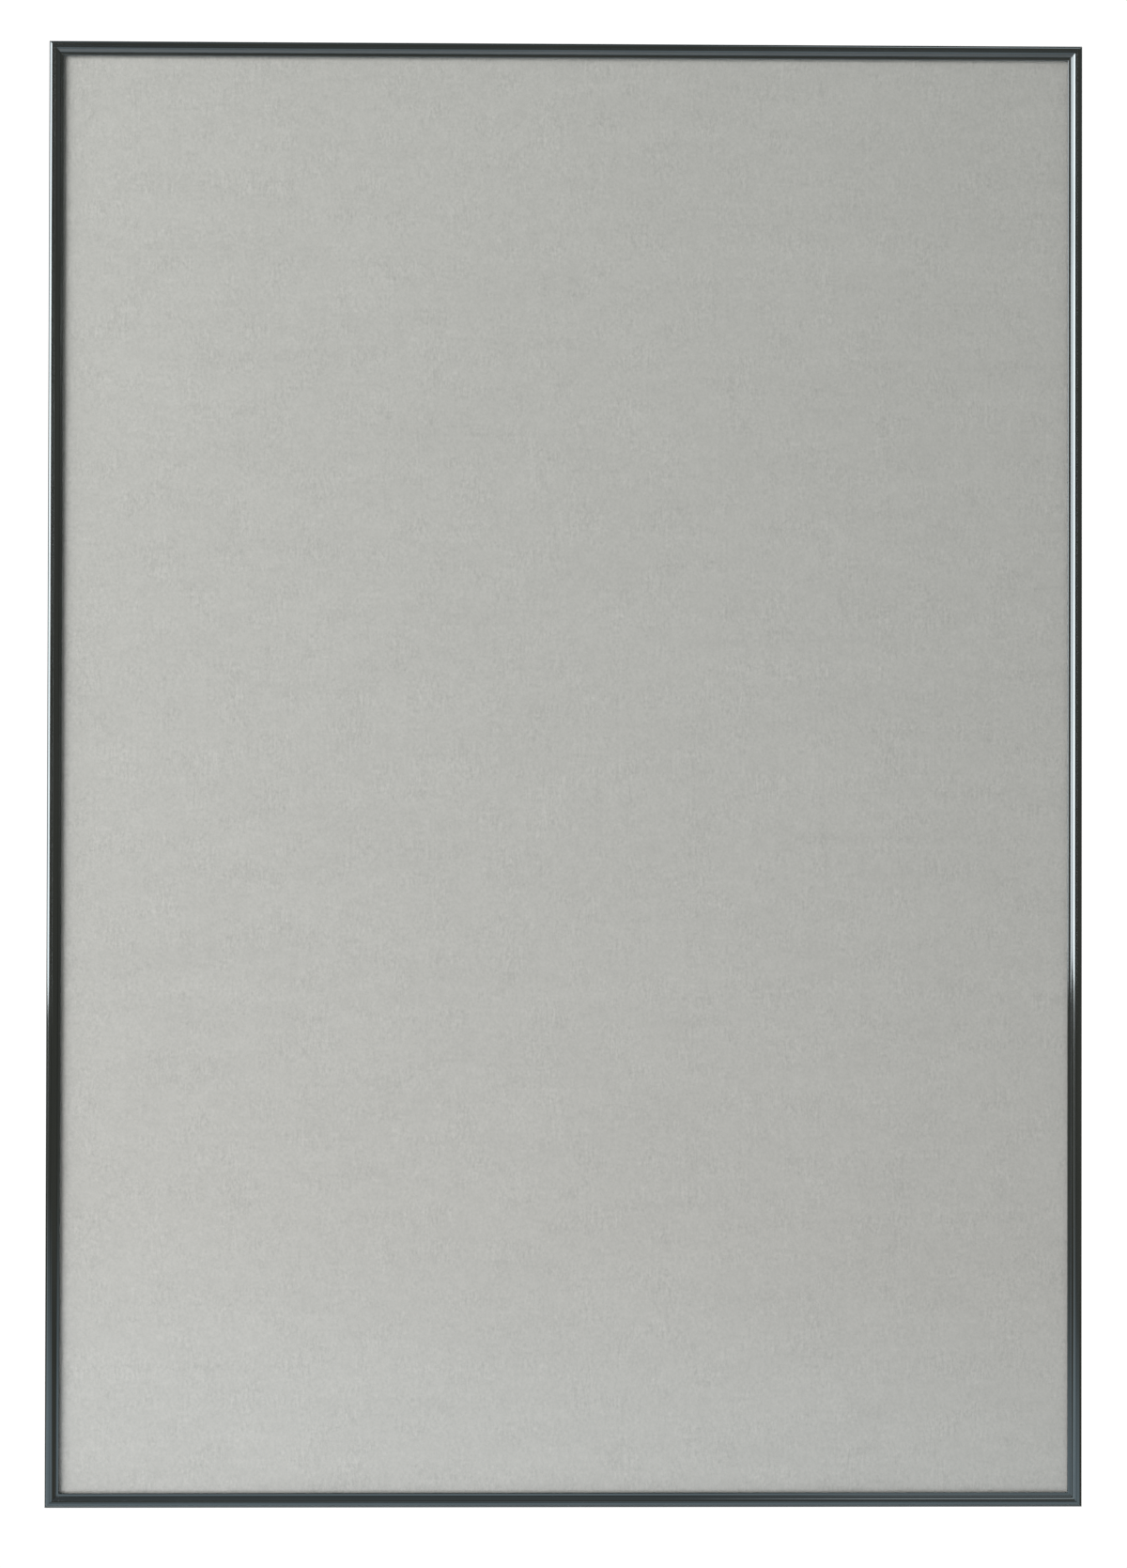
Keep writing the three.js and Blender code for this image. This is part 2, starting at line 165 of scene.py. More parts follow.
window_run = window_far_end - window_near_end
window_facing = Vector((window_run.y, -window_run.x))
window_middle = window_low_edge + window_height / 2
for pane, first, last, strength in (("near", 0, window_split, near_pane_strength),
                                    ("far", window_split, 1, far_pane_strength)):
    centre = window_near_end + window_run * (first + last) / 2
    target = centre + window_facing
    softbox(f"window_{pane}_pane", place=(*centre, window_middle), aim=(*target, window_middle),
            width=window_run.length * (last - first), height=window_height, strength=strength,
            color=window_color)
print("window in metres:", round(window_run.length, 2), "long,", window_height, "high")

# %% [markdown]
# The smaller lights
#
# A narrow pier of light below the window and a panel overhead only show in the metal: they add the faint
# lines low on the right rail and along the bottom one. A low fill evens out the sheet and is kept out of
# reflections, and a fill behind lights the hardware. One large light could do the work of all four, but
# then no line in the metal could be set by itself.

# %% Make the smaller lights
softbox("low_fill", place=(-0.2, -0.75, -0.55), aim=(-0.05, 0, -0.45), width=1.2, height=0.25,
        strength=2.05, color=(0.98, 0.99, 1.07), mirrored=False)

pier_share = 0.184
pier_height = 1.2
pier_centre = window_near_end + window_run * pier_share
pier_middle = window_low_edge - pier_height / 2
softbox("pier_below_window", place=(*pier_centre, pier_middle), aim=(0, 0, pier_middle), width=0.32,
        height=pier_height, strength=0.8, color=(0.97, 1.0, 1.0), lighting=False)

softbox("ceiling_panel", place=(1.0, -1.6, 2.0), aim=(0.4, 0, -0.2), width=1.3, height=1.2,
        strength=1.0, color=(0.92, 1.0, 1.0), lighting=False)
softbox("back_fill", place=(0.6, 2.6, 1.4), aim=(0, 0, 0), width=2.2, height=2.2,
        strength=1.6, color=(1.0, 0.99, 0.97))

# %% [markdown]
# Shader nodes
#
# What the room and each finish look like is told by a small tree of shader nodes. Such a tree could be
# wired up by hand in the shader editor, but one that is written down comes out the same each time and can
# be read from top to bottom. These helpers add a node and set its values, link two sockets, stretch a
# value and turn a value into a colour.


# %% Helpers for shader nodes
def node(finish, kind, **values):
    """Adds a node, and sets its sockets or its settings by their names."""
    made = finish.node_tree.nodes.new(kind)
    sockets = {socket.name.lower().replace(" ", "_"): socket for socket in reversed(made.inputs[:])}
    for name, value in values.items():
        if name in sockets:
            sockets[name].default_value = value
        else:
            setattr(made, name, value)
    return made


def wire(finish, start, end):
    """Links an output to an input."""
    finish.node_tree.links.new(start, end)


def remap(finish, value, low, high, to_low, to_high):
    """Stretches a value from one range to another, and holds it there."""
    change = node(finish, "ShaderNodeMapRange", from_min=low, from_max=high, to_min=to_low, to_max=to_high)
    wire(finish, value, change.inputs["Value"])
    return change.outputs["Result"]


def colours(finish, value, *stops):
    """A colour ramp, from (place, colour) pairs."""
    ramp = node(finish, "ShaderNodeValToRGB")
    elements = ramp.color_ramp.elements
    elements[0].position, elements[1].position = stops[0][0], stops[-1][0]
    elements[0].color, elements[1].color = (*stops[0][1], 1), (*stops[-1][1], 1)
    for place, color in stops[1:-1]:
        elements.new(place).color = (*color, 1)
    wire(finish, value, ramp.inputs["Fac"])
    return ramp.outputs["Color"]


print("node helpers ready")

# %% [markdown]
# The room
#
# Where the rails mirror no light, they show the sky of the scene. It is white to the camera, as round a
# cut-out picture, and a dim room to everything else. A picture of a room could be wrapped round the scene,
# but a few shades laid over the height of a direction do as well: slate below, a warm dark wall and a dim
# ceiling. The height is measured along a slightly tilted line, so that the slate stands highest on one side
# of the room, as the rails of the photograph show it.

# %% Paint the room
room_tilt = (0.08, 0.15, 1)
floor_shade = (0.23, 0.26, 0.27)
slate = (0.38, 0.46, 0.49)
pale_slate = (0.5, 0.61, 0.65)
warm_wall = (0.155, 0.155, 0.13)
ceiling_edge = (0.2, 0.23, 0.23)
ceiling_middle = (0.18, 0.2, 0.2)
camera_white = 1.05


def room_sky():
    """White to the camera, and else shades from straight down, at 0, to straight up, at 1."""
    world = bpy.data.worlds.new("studio_room")
    bpy.context.scene.world = world
    world.use_nodes = True
    world.node_tree.nodes.clear()
    direction = node(world, "ShaderNodeTexCoord").outputs["Generated"]
    upward = node(world, "ShaderNodeVectorMath", operation="DOT_PRODUCT")
    upward.inputs[1].default_value = room_tilt
    wire(world, direction, upward.inputs[0])
    shade = colours(world, remap(world, upward.outputs["Value"], -1, 1, 0, 1), (0.0, floor_shade),
                    (0.185, slate), (0.312, pale_slate), (0.346, warm_wall), (0.57, warm_wall),
                    (0.74, ceiling_edge), (1.0, ceiling_middle))
    room = node(world, "ShaderNodeBackground")
    white = node(world, "ShaderNodeBackground", color=(1, 1, 1, 1), strength=camera_white)
    seen = node(world, "ShaderNodeLightPath").outputs["Is Camera Ray"]
    mix = node(world, "ShaderNodeMixShader")
    output = node(world, "ShaderNodeOutputWorld")
    wire(world, shade, room.inputs["Color"])
    wire(world, seen, mix.inputs["Fac"])
    wire(world, room.outputs["Background"], mix.inputs[1])
    wire(world, white.outputs["Background"], mix.inputs[2])
    wire(world, mix.outputs["Shader"], output.inputs["Surface"])


room_sky()
print("room:", bpy.context.scene.world.name)

# %% [markdown]
# The rail's section
#
# The section of the rail is drawn once, as depth from the front crest and distance inwards from the outer
# edge, both in millimetres. How wide and deep it is and where its channels lie could be typed here, but
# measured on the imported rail, board and spring it always fits what lies inside it.

# %% Measure the rail
spring_seat_gap = 0.1
rail_low, rail_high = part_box("bottom_rail")
crest_y = rail_low[1]
half_width = rail_high[0]
half_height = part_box("left_rail")[1][2]
rail_width = (rail_high[2] - rail_low[2]) / mm
rail_depth = (rail_high[1] - rail_low[1]) / mm
board_back = (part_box("backing_board")[1][1] - crest_y) / mm
flange_front = (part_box("bottom_bow_spring_1")[1][1] - crest_y) / mm + spring_seat_gap
channel_centre = rail_width / 2
print("rail section in mm:", round(rail_width, 2), "wide,", round(rail_depth, 2), "deep")

# %% [markdown]
# The ogee
#
# The main form of the moulded face is an ogee, a curve that swells and then hollows, as on many picture
# frames. It could be two equal arcs. A broad swelling, a straight slope and a tight hollow meet the light
# more as the real one does: the swelling mirrors the near part of the window as a bright line, and the
# slope its far part as a softer band.

# %% Draw the ogee
ogee_set_back = 0.15
ogee_drop = 1.65
ogee_steepest = 47
ogee_end_slope = 5
swelling_radius = 2.5
hollow_radius = 0.6


def arc(centre, radius, start, end, steps):
    """Points on an arc, between two angles in degrees."""
    points = []
    for step in range(steps + 1):
        angle = math.radians(start + (end - start) * step / steps)
        points.append((centre[0] + radius * math.cos(angle), centre[1] + radius * math.sin(angle)))
    return points


def ogee(start):
    """A broad swelling, a straight slope and a tight hollow, from the groove down to the lip's step."""
    steepest, last = math.radians(ogee_steepest), math.radians(ogee_end_slope)
    swelling = arc((ogee_set_back + swelling_radius, start), swelling_radius, 180, 180 - ogee_steepest, 14)
    slope_end = ogee_set_back + ogee_drop - hollow_radius * (math.cos(last) - math.cos(steepest))
    slope_run = (slope_end - swelling[-1][0]) / math.tan(steepest)
    hollow_start = swelling[-1][1] + slope_run
    centre = (slope_end - hollow_radius * math.cos(steepest),
              hollow_start + hollow_radius * math.sin(steepest))
    hollow = arc(centre, hollow_radius, -ogee_steepest, -ogee_end_slope, 8)
    return swelling + hollow


print("points in the ogee:", len(ogee(0)))

# %% [markdown]
# The moulded face
#
# From the outer edge inwards the real moulding has a rounded edge, a flat band, a fine groove, the ogee
# and a thin sight lip, which the sheets lie behind. The whole line could be traced as a curve object, but
# when each part of it has a width and a depth of its own, one part can be changed without drawing the rest
# again.

# %% Draw the face
outer_rounding = 1.8
band_width = 3.0
groove_width = 0.5
groove_depth = 0.6
lip_step = 0.55
lip_step_slope = 0.15
lip_width = 1.56
lip_thickness = 1.05
lip_edge_rounding = 0.45
lip_front = ogee_set_back + ogee_drop + lip_step


def rail_face():
    """The front of the section, from the outer edge to the sight edge."""
    points = arc((outer_rounding, outer_rounding), outer_rounding, -90, -180, 16)
    points += [(0, band_width), (groove_depth, band_width), (groove_depth, band_width + groove_width)]
    points += ogee(band_width + groove_width)
    ogee_inner = points[-1][1]
    sight_edge = ogee_inner + lip_step_slope + lip_width
    points += [(lip_front, ogee_inner + lip_step_slope)]
    points += arc((lip_front + lip_edge_rounding, sight_edge - lip_edge_rounding), lip_edge_rounding,
                  180, 90, 8)
    points += [(lip_front + lip_thickness, sight_edge)]
    return points


face_points = rail_face()
print("sight edge in mm:", round(face_points[-1][1], 3), "lip front:", round(lip_front, 3))

# %% [markdown]
# The channels behind the face
#
# Behind the lip lies a wide channel for the sheets and their springs, and behind its flange a narrower
# one, open along a slot, for the hardware. They could be cut out of a solid bar with Booleans, but their
# walls are straight, so their corners are simply listed, and only the two rear edges get an arc.

# %% Draw the channels
rail_wall = 1.2
flange_thickness = 1.2
rear_lip_thickness = 1.2
rear_slot_width = 5.6
rear_edge_rounding = 0.4


def rail_back():
    """The channels behind the face, from the lip round to the outer edge."""
    lip_back = lip_front + lip_thickness
    flange_back = flange_front + flange_thickness
    rear_lip = rail_depth - rear_lip_thickness
    slot_low = channel_centre - rear_slot_width / 2
    slot_high = channel_centre + rear_slot_width / 2
    inner = rail_width - rail_wall
    round_over = rear_edge_rounding
    points = [(lip_back, rail_wall), (flange_front, rail_wall), (flange_front, rail_width)]
    points += arc((rail_depth - round_over, rail_width - round_over), round_over, 90, 0, 5)
    points += [(rail_depth, slot_high), (rear_lip, slot_high), (rear_lip, inner), (flange_back, inner),
               (flange_back, rail_wall), (rear_lip, rail_wall), (rear_lip, slot_low), (rail_depth, slot_low)]
    points += arc((rail_depth - round_over, round_over), round_over, 0, -90, 5)
    return points


back_points = rail_back()
print("corners and arc points behind the face:", len(back_points))

# %% [markdown]
# Soft corners
#
# The corners of an extruded section are never quite sharp, so each gets a small radius, and the crisp ones
# of the face get the smallest. A bevel could do it along the finished rail, but softening the drawing is
# surer.

# %% Soften the corners
corner_softness = 0.13
crisp_softness = 0.03
share_of_an_edge = 0.4
least_turn = math.radians(25)


def curve_between(start, control, end, steps):
    """Points on a quadratic curve."""
    points = []
    for step in range(steps + 1):
        t = step / steps
        a, b, c = (1 - t) ** 2, 2 * t * (1 - t), t * t
        points.append((a * start[0] + b * control[0] + c * end[0],
                       a * start[1] + b * control[1] + c * end[1]))
    return points


def softened(points):
    """Rounds each corner that turns by more than the least turn, and the crisp ones of the face least."""
    rounded = []
    for index, here in enumerate(points):
        here = Vector(here)
        before = Vector(points[index - 1])
        after = Vector(points[(index + 1) % len(points)])
        come, go = here - before, after - here
        if come.angle(go) < least_turn:
            rounded.append(tuple(here))
            continue
        on_face = here.y >= band_width and here.x <= lip_front
        reach = crisp_softness if on_face else corner_softness
        cut = min(reach, share_of_an_edge * come.length, share_of_an_edge * go.length)
        start = here - come.normalized() * cut
        end = here + go.normalized() * cut
        rounded += curve_between(start, here, end, 4)
    return rounded


section = softened(face_points + back_points)
print("points in the section:", len(section))

# %% [markdown]
# Patterns and relief
#
# No real surface has one even colour: there are grain, smears and a little relief in it. They could come
# from pictures, but noise that is made by nodes stays sharp from near by and needs no file. These helpers
# start a finish, spread a noise over it, combine and add up values, and turn a height into a bump. The
# bump's depth is in metres, so that it can be thought of as real relief.


# %% Helpers for patterns and relief
def new_finish(name):
    """A new material, and the shader that the rest of its nodes feed."""
    finish = bpy.data.materials.new(name)
    finish.use_nodes = True
    return finish, finish.node_tree.nodes["Principled BSDF"]


def pattern(finish, source, scale, detail=2.0, roughness=0.5, distortion=0.0):
    """Noise whose grain runs at the given number of waves a metre along X, Y and Z."""
    spread = node(finish, "ShaderNodeMapping", scale=scale)
    grain = node(finish, "ShaderNodeTexNoise", scale=1.0, detail=detail, roughness=roughness,
                 distortion=distortion)
    wire(finish, source, spread.inputs["Vector"])
    wire(finish, spread.outputs["Vector"], grain.inputs["Vector"])
    return grain.outputs["Fac"]


def combine(finish, operation, first, second):
    """One step of arithmetic on two values, each a socket or a number."""
    step = node(finish, "ShaderNodeMath", operation=operation)
    for socket, value in zip(step.inputs, (first, second)):
        if isinstance(value, (int, float)):
            socket.default_value = value
        else:
            wire(finish, value, socket)
    return step.outputs[0]


def weighted_sum(finish, part, *others):
    """Adds up values, each given with its weight."""
    total = combine(finish, "MULTIPLY", *part)
    if others:
        total = combine(finish, "ADD", total, weighted_sum(finish, *others))
    return total


def emboss(finish, shader, height, depth):
    """Bumps the surface by a height from 0 to 1 that stands for the given depth in metres."""
    bump = node(finish, "ShaderNodeBump", distance=depth)
    wire(finish, height, bump.inputs["Height"])
    wire(finish, bump.outputs["Normal"], shader.inputs["Normal"])


print("finish helpers ready")

# %% [markdown]
# The dark metal finish
#
# The metal is smooth and dark, like anodised or lacquered gunmetal. It mirrors the room sharply, with the
# very faint lines that an extrusion die leaves along its length and the light smears that handling leaves.
# A pattern could follow the frame's own axes, but then its lines would run across two of the rails. So
# each rail carries a map of its own, with length one way and distance round the section the other, and the
# lines follow every rail and turn at the mitres.

# %% Make the rail finish
die_line_depth = 0.0006 * mm
gunmetal_dark = (0.163, 0.176, 0.185)
gunmetal_light = (0.215, 0.229, 0.239)


def gunmetal():
    """Smooth dark metal with faint lines along each rail."""
    finish, shader = new_finish("gunmetal_rail")
    along = node(finish, "ShaderNodeUVMap", uv_map="grain").outputs["UV"]
    die_lines = pattern(finish, along, (6, 5200, 1), detail=4, roughness=0.7)
    smears = pattern(finish, along, (9, 160, 1), detail=3, roughness=0.55, distortion=0.6)
    tone = weighted_sum(finish, (die_lines, 0.35), (smears, 0.65))
    metal = colours(finish, tone, (0.3, gunmetal_dark), (0.7, gunmetal_light))
    wire(finish, metal, shader.inputs["Base Color"])
    wire(finish, remap(finish, smears, 0.3, 0.75, 0.05, 0.11), shader.inputs["Roughness"])
    shader.inputs["Metallic"].default_value = 1.0
    emboss(finish, shader, die_lines, die_line_depth)
    return finish


rail_finish = gunmetal()
print("rail finish:", rail_finish.name)

# %% [markdown]
# From a mesh to a piece
#
# Three ways of making cover every piece of this frame. A rail is a section run along a line. A plate, a
# sheet or a bow spring is an outline given thickness. A screw or a bumper is a profile turned about an
# axis. Each mesh then becomes a piece in the same way. Its faces could all be shaded smooth, but flat
# faces must look flat beside a rounded rim, so the large ones are kept out of the smoothing, and the
# shading of each point leans to its larger faces.

# %% Turn a mesh into a piece
sharp_angle = math.radians(32)
same_point = 1e-7


def finished_mesh(name, bm, finish):
    """Makes an object of a mesh under construction, with its faces turned outwards and tagged faces flat."""
    bmesh.ops.remove_doubles(bm, verts=bm.verts, dist=same_point)
    bmesh.ops.recalc_face_normals(bm, faces=bm.faces)
    closed = all(edge.is_manifold for edge in bm.edges)
    if closed and bm.calc_volume(signed=True) < 0:
        bmesh.ops.reverse_faces(bm, faces=bm.faces)
    for face in bm.faces:
        face.smooth = not face.tag
    mesh = bpy.data.meshes.new(name)
    bm.to_mesh(mesh)
    bm.free()
    mesh.set_sharp_from_angle(angle=sharp_angle)
    mesh.materials.append(finish)
    piece = bpy.data.objects.new(name, mesh)
    bpy.context.scene.collection.objects.link(piece)
    shading = piece.modifiers.new("even_shading", "WEIGHTED_NORMAL")
    shading.keep_sharp = True
    return piece


print("edges stay sharp from", round(math.degrees(sharp_angle)), "degrees")

# %% [markdown]
# Places on a rail
#
# The four rails are lengths of one bar that run round the frame one after another. Each could be modelled
# lying flat and then be turned into place. Instead a place is given as on the bar itself, along it, back
# from its crest and in from its outer edge, and is worked out for the side that is asked for. The springs,
# which lie in the rails, are placed by the same function.


# %% Find a place on a rail
def on_side(side, along, depth, inwards):
    """A place on a rail, in metres: along it, back from the crest and in from the outer edge, in mm."""
    run, back, reach = along * mm, crest_y + depth * mm, inwards * mm
    if side == "bottom":
        return Vector((run, back, -half_height + reach))
    if side == "top":
        return Vector((-run, back, half_height - reach))
    if side == "left":
        return Vector((-half_width + reach, back, -run))
    return Vector((half_width - reach, back, run))


print("crest of the bottom rail in mm:",
      [in_mm(part) for part in on_side("bottom", 0, 0, channel_centre)])

# %% [markdown]
# The four rails
#
# The section runs between two mitre planes, so a point that lies further in is further from the corner by
# the same amount. A mitred rail could be a long bar cut by two planes, but placing both end rings directly
# gives clean four-sided faces with no cutting.

# %% Make the rails
mitre_gap = 0.08


def rail(side, length):
    """One rail, with the map that its finish follows."""
    bm = bmesh.new()
    grain = bm.loops.layers.uv.new("grain")
    rings = []
    for end in (-1, 1):
        ring = []
        for depth, inwards in section:
            along = end * (length / 2 - mitre_gap / 2 - inwards)
            ring.append(bm.verts.new(on_side(side, along, depth, inwards)))
        rings.append(ring)
    around = 0.0
    for index, here in enumerate(section):
        after = (index + 1) % len(section)
        step = (Vector(section[after]) - Vector(here)).length * mm
        face = bm.faces.new((rings[0][index], rings[0][after], rings[1][after], rings[1][index]))
        run = length / 2 * mm
        corners = ((-run, around), (-run, around + step), (run, around + step), (run, around))
        for loop, corner in zip(face.loops, corners):
            loop[grain].uv = corner
        around += step
    for ring in rings:
        bm.faces.new(ring).tag = True
    piece = finished_mesh(f"{side}_rail_moulding", bm, rail_finish)
    return stand_for(piece, f"{side}_rail")


outer_width = 2 * half_width / mm
outer_height = 2 * half_height / mm
for side in ("bottom", "top"):
    rail(side, outer_width)
for side in ("left", "right"):
    rail(side, outer_height)
print("outline in mm:", round(outer_width, 1), "by", round(outer_height, 1))

# %% [markdown]
# The relief of the display sheet
#
# The sheet is a matt, light grey paper, embossed like fine leather. From a step away it shows soft cloudy
# patches, wider than they are high, and the whole sheet cockles a little. Both are real relief, though
# less than a tenth of a millimetre deep. A displace modifier could push the face back with a texture, but
# a formula gives every point once and can be tried out at any place.

# %% Shape the relief
patch_across = 26.0
patch_up = 12.0
drift_across = 60
drift_up = 45
cockle_across = 170
cockle_up = 150


def sheet_relief(x, z):
    """How far the sheet's face lies back at a place, from 0 to 1. Each noise takes a slice of its own."""
    drift = 0.4 * patch_across * noise.noise(Vector((x / drift_across, 1.7, z / drift_up)))
    wide = noise.noise(Vector(((x + drift) / patch_across, 7.3, (z + drift) / patch_up)))
    small = noise.noise(Vector(((x - drift) / (0.5 * patch_across), 2.1, (z + drift) / (0.6 * patch_up))))
    cockle = noise.noise(Vector((x / cockle_across, 4.4, z / cockle_up)))
    return min(1.0, max(0.0, 0.5 + 0.4 * wide + 0.25 * small + 0.3 * cockle))


print("relief at the middle of the sheet:", round(sheet_relief(0, 0), 2))

# %% [markdown]
# The grey display sheet
#
# The sheet fills the frame's opening and runs on behind the lips of the rails. Its front is a grid whose
# points are set back by the relief, and its back is one plain face. A subdivided plane could be thickened
# by a solidify modifier, but its back and edges would then take up the relief too.

# %% Model the display sheet
relief_step = 3.3
relief_depth = 0.08


def embossed_sheet(node_name, finish):
    """A closed sheet whose front is a grid with the relief in it."""
    low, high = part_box(node_name)
    width, height = (high[0] - low[0]) / mm, (high[2] - low[2]) / mm
    columns, rows = round(width / relief_step), round(height / relief_step)
    bm = bmesh.new()
    grid = []
    for row in range(rows + 1):
        z = height * (row / rows - 0.5)
        line = []
        for column in range(columns + 1):
            x = width * (column / columns - 0.5)
            back = relief_depth * sheet_relief(x, z)
            line.append(bm.verts.new((x * mm, low[1] + back * mm, z * mm)))
        grid.append(line)
    for row in range(rows):
        for column in range(columns):
            bm.faces.new((grid[row][column], grid[row][column + 1],
                          grid[row + 1][column + 1], grid[row + 1][column]))
    corners = [bm.verts.new((x, high[1], z)) for x, z in
               ((low[0], low[2]), (high[0], low[2]), (high[0], high[2]), (low[0], high[2]))]
    bm.faces.new(corners)
    sides = (grid[0], [line[-1] for line in grid], grid[-1][::-1], [line[0] for line in grid][::-1])
    for index, side in enumerate(sides):
        bm.faces.new([*side, corners[(index + 1) % 4], corners[index]])
    return finished_mesh("embossed_grey_sheet", bm, finish)


print("relief grid in mm:", relief_step, "and", relief_depth, "deep")

# %% [markdown]
# The embossed paper
#
# Up close the paper shows a fine tooth and clusters of short, mostly upright folds. Modelled, they would
# take millions of faces. So the finish draws the folds as thin lines, where a stretched pattern passes
# through its middle value, and lets them show only in the busy patches. The same tooth and folds tint the
# paper, change how it shines and bump it, so that they always fall together. Where the folds darken the
# paper's colour, that is painted shade in the creases.

# %% Make the paper and the sheet
tooth_depth = 0.08 * mm
slant_of_folds = 0.6
paper_dark = (0.435, 0.395, 0.38)
paper_light = (0.694, 0.63, 0.609)


def own_place(finish):
    """The place on the piece itself, in metres, so that every pattern keeps its real size."""
    return node(finish, "ShaderNodeTexCoord").outputs["Object"]


def creases(finish, source, scale, width):
    """Thin lines where a pattern passes through its middle value, like the fine folds of leather."""
    grain = pattern(finish, source, scale, distortion=0.4)
    away = combine(finish, "ABSOLUTE", combine(finish, "SUBTRACT", grain, 0.5), 0.0)
    return remap(finish, away, 0.0, width, 1.0, 0.0)


def embossed_paper():
    """Matt paper with a tooth, soft clouds of tone and clusters of folds that carry painted shade."""
    finish, shader = new_finish("embossed_grey_paper")
    place = own_place(finish)
    slanted_place = node(finish, "ShaderNodeVectorRotate", rotation_type="Y_AXIS", angle=slant_of_folds)
    wire(finish, place, slanted_place.inputs["Vector"])
    busy = pattern(finish, place, (45, 1, 60), detail=3, roughness=0.6)
    cluster = remap(finish, busy, 0.47, 0.6, 0.0, 1.0)
    upright = creases(finish, place, (420, 1, 85), 0.1)
    slanted = creases(finish, slanted_place.outputs["Vector"], (300, 1, 150), 0.06)
    # The folds are real relief in the bump, and where they darken the tone below they are painted shade in
    # the creases.
    folds = weighted_sum(finish, (slanted, 0.35), (combine(finish, "SUBTRACT", upright, 0.33), cluster))
    tooth = pattern(finish, place, (520, 1, 420), detail=5, roughness=0.85)
    grain = combine(finish, "MULTIPLY", combine(finish, "SUBTRACT", tooth, 0.5),
                    remap(finish, busy, 0.38, 0.6, 0.3, 0.62))
    mottle = pattern(finish, place, (130, 1, 150), detail=4, roughness=0.85)
    clouds = pattern(finish, place, (36, 1, 62), detail=3, roughness=0.6)
    streaks = pattern(finish, place, (11, 1, 42), detail=3, roughness=0.6, distortion=0.8)
    soft = weighted_sum(finish, (mottle, 0.21), (clouds, 0.04), (streaks, 0.07))
    # The folds are taken off the tone: painted shade in the creases.
    tone = combine(finish, "SUBTRACT", combine(finish, "ADD", soft, grain),
                   combine(finish, "MULTIPLY", folds, 0.06))
    relief = combine(finish, "SUBTRACT", tooth, combine(finish, "MULTIPLY", folds, 0.5))
    paper = colours(finish, tone, (0.0, paper_dark), (0.32, paper_light))
    wire(finish, paper, shader.inputs["Base Color"])
    wire(finish, remap(finish, relief, 0.1, 0.7, 0.82, 0.62), shader.inputs["Roughness"])
    shader.inputs["Specular IOR Level"].default_value = 0.35
    emboss(finish, shader, relief, tooth_depth)
    return finish


display_sheet = embossed_sheet("display_sheet", embossed_paper())
stand_for(display_sheet, "display_sheet")
print("faces on the display sheet:", len(display_sheet.data.polygons))

# %% [markdown]
# Outlines and slabs
#
# The other sheets, the plates and the springs all have an even thickness and rounded rims. Blender's own
# primitives could be bevelled for them, but outlines keep the holes, the slots and the rounded corners in
# one closed mesh. An outline is a loop of points that runs with the material on its left, so a hole runs
# the other way round. A slab stacks copies of its loops. Near both faces they are drawn in little by
# little, which rounds the rims over. The two ends are then filled with triangles, which leaves the holes
# open.

# %% Make slabs from outlines
least_reach = 0.4


def drawn_in(loop, amount):
    """The loop moved towards its left side, where the material is, though never far at a sharp corner."""
    moved = []
    for index, here in enumerate(loop):
        before = Vector(loop[index - 1])
        after = Vector(loop[(index + 1) % len(loop)])
        come = (Vector(here) - before).normalized()
        go = (after - Vector(here)).normalized()
        side = Vector((-come.y - go.y, come.x + go.x)).normalized()
        reach = max(least_reach, side.dot(Vector((-come.y, come.x))))
        moved.append(Vector(here) + side * amount / reach)
    return moved


def bridge(bm, first, second):
    """Faces between two rings with the same number of points."""
    for index in range(len(first)):
        after = (index + 1) % len(first)
        bm.faces.new((first[index], first[after], second[after], second[index]))


def slab(loops, low, high, edge, place, round_steps=3):
    """Gives loops a thickness from low to high, with both rims rounded over by the edge radius."""
    bm = bmesh.new()
    caps = ([], [])
    for loop in loops:
        levels = []
        for step in range(round_steps + 1):
            turn = math.pi / 2 * step / round_steps
            levels.append((edge * (1 - math.sin(turn)), low + edge * (1 - math.cos(turn))))
        levels += [(inwards, low + high - level) for inwards, level in reversed(levels)]
        rings = []
        for inwards, level in levels:
            points = drawn_in(loop, inwards)
            rings.append([bm.verts.new(place(x, y, level)) for x, y in points])
        for first, second in zip(rings, rings[1:]):
            bridge(bm, first, second)
        for cap, ring in zip(caps, (rings[0], rings[-1])):
            for index, vertex in enumerate(ring):
                cap.append(bm.edges.get((vertex, ring[(index + 1) % len(ring)])))
    for cap in caps:
        made = bmesh.ops.triangle_fill(bm, use_beauty=True, edges=cap)
        for item in made["geom"]:
            if isinstance(item, bmesh.types.BMFace):
                item.tag = True
    return bm


print("outline and slab tools ready")

# %% [markdown]
# Plain sheets
#
# The clear sheet and the hardboard are cut from larger boards, so each is a rectangle with slightly
# rounded corners and eased edges. It could be a scaled cube with a bevel, but four quarter arcs make an
# outline that the slab tool takes, and the same outline later serves for the eyes and the nuts of the
# hangers.


# %% Cut a plain sheet
def rectangle(width, height, radius, centre=(0.0, 0.0), steps=5):
    """A rounded rectangle, run so that its inside is on the left."""
    points = []
    for turn, (across, upward) in enumerate(((1, -1), (1, 1), (-1, 1), (-1, -1))):
        corner = (centre[0] + across * (width / 2 - radius), centre[1] + upward * (height / 2 - radius))
        points += arc(corner, radius, -90 + 90 * turn, 90 * turn, steps)
    return points


def flat_sheet(node_name, piece_name, finish, corner, edge):
    """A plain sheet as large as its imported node, with eased edges."""
    low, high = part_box(node_name)
    outline = rectangle((high[0] - low[0]) / mm, (high[2] - low[2]) / mm, corner)
    bm = slab([outline], low[1] / mm, high[1] / mm, edge, lambda x, z, y: Vector((x, y, z)) * mm)
    return stand_for(finished_mesh(piece_name, bm, finish), node_name)


print("plain sheet tools ready")

# %% [markdown]
# The clear sheet
#
# In front lies a thin clear sheet with polished, slightly eased edges.

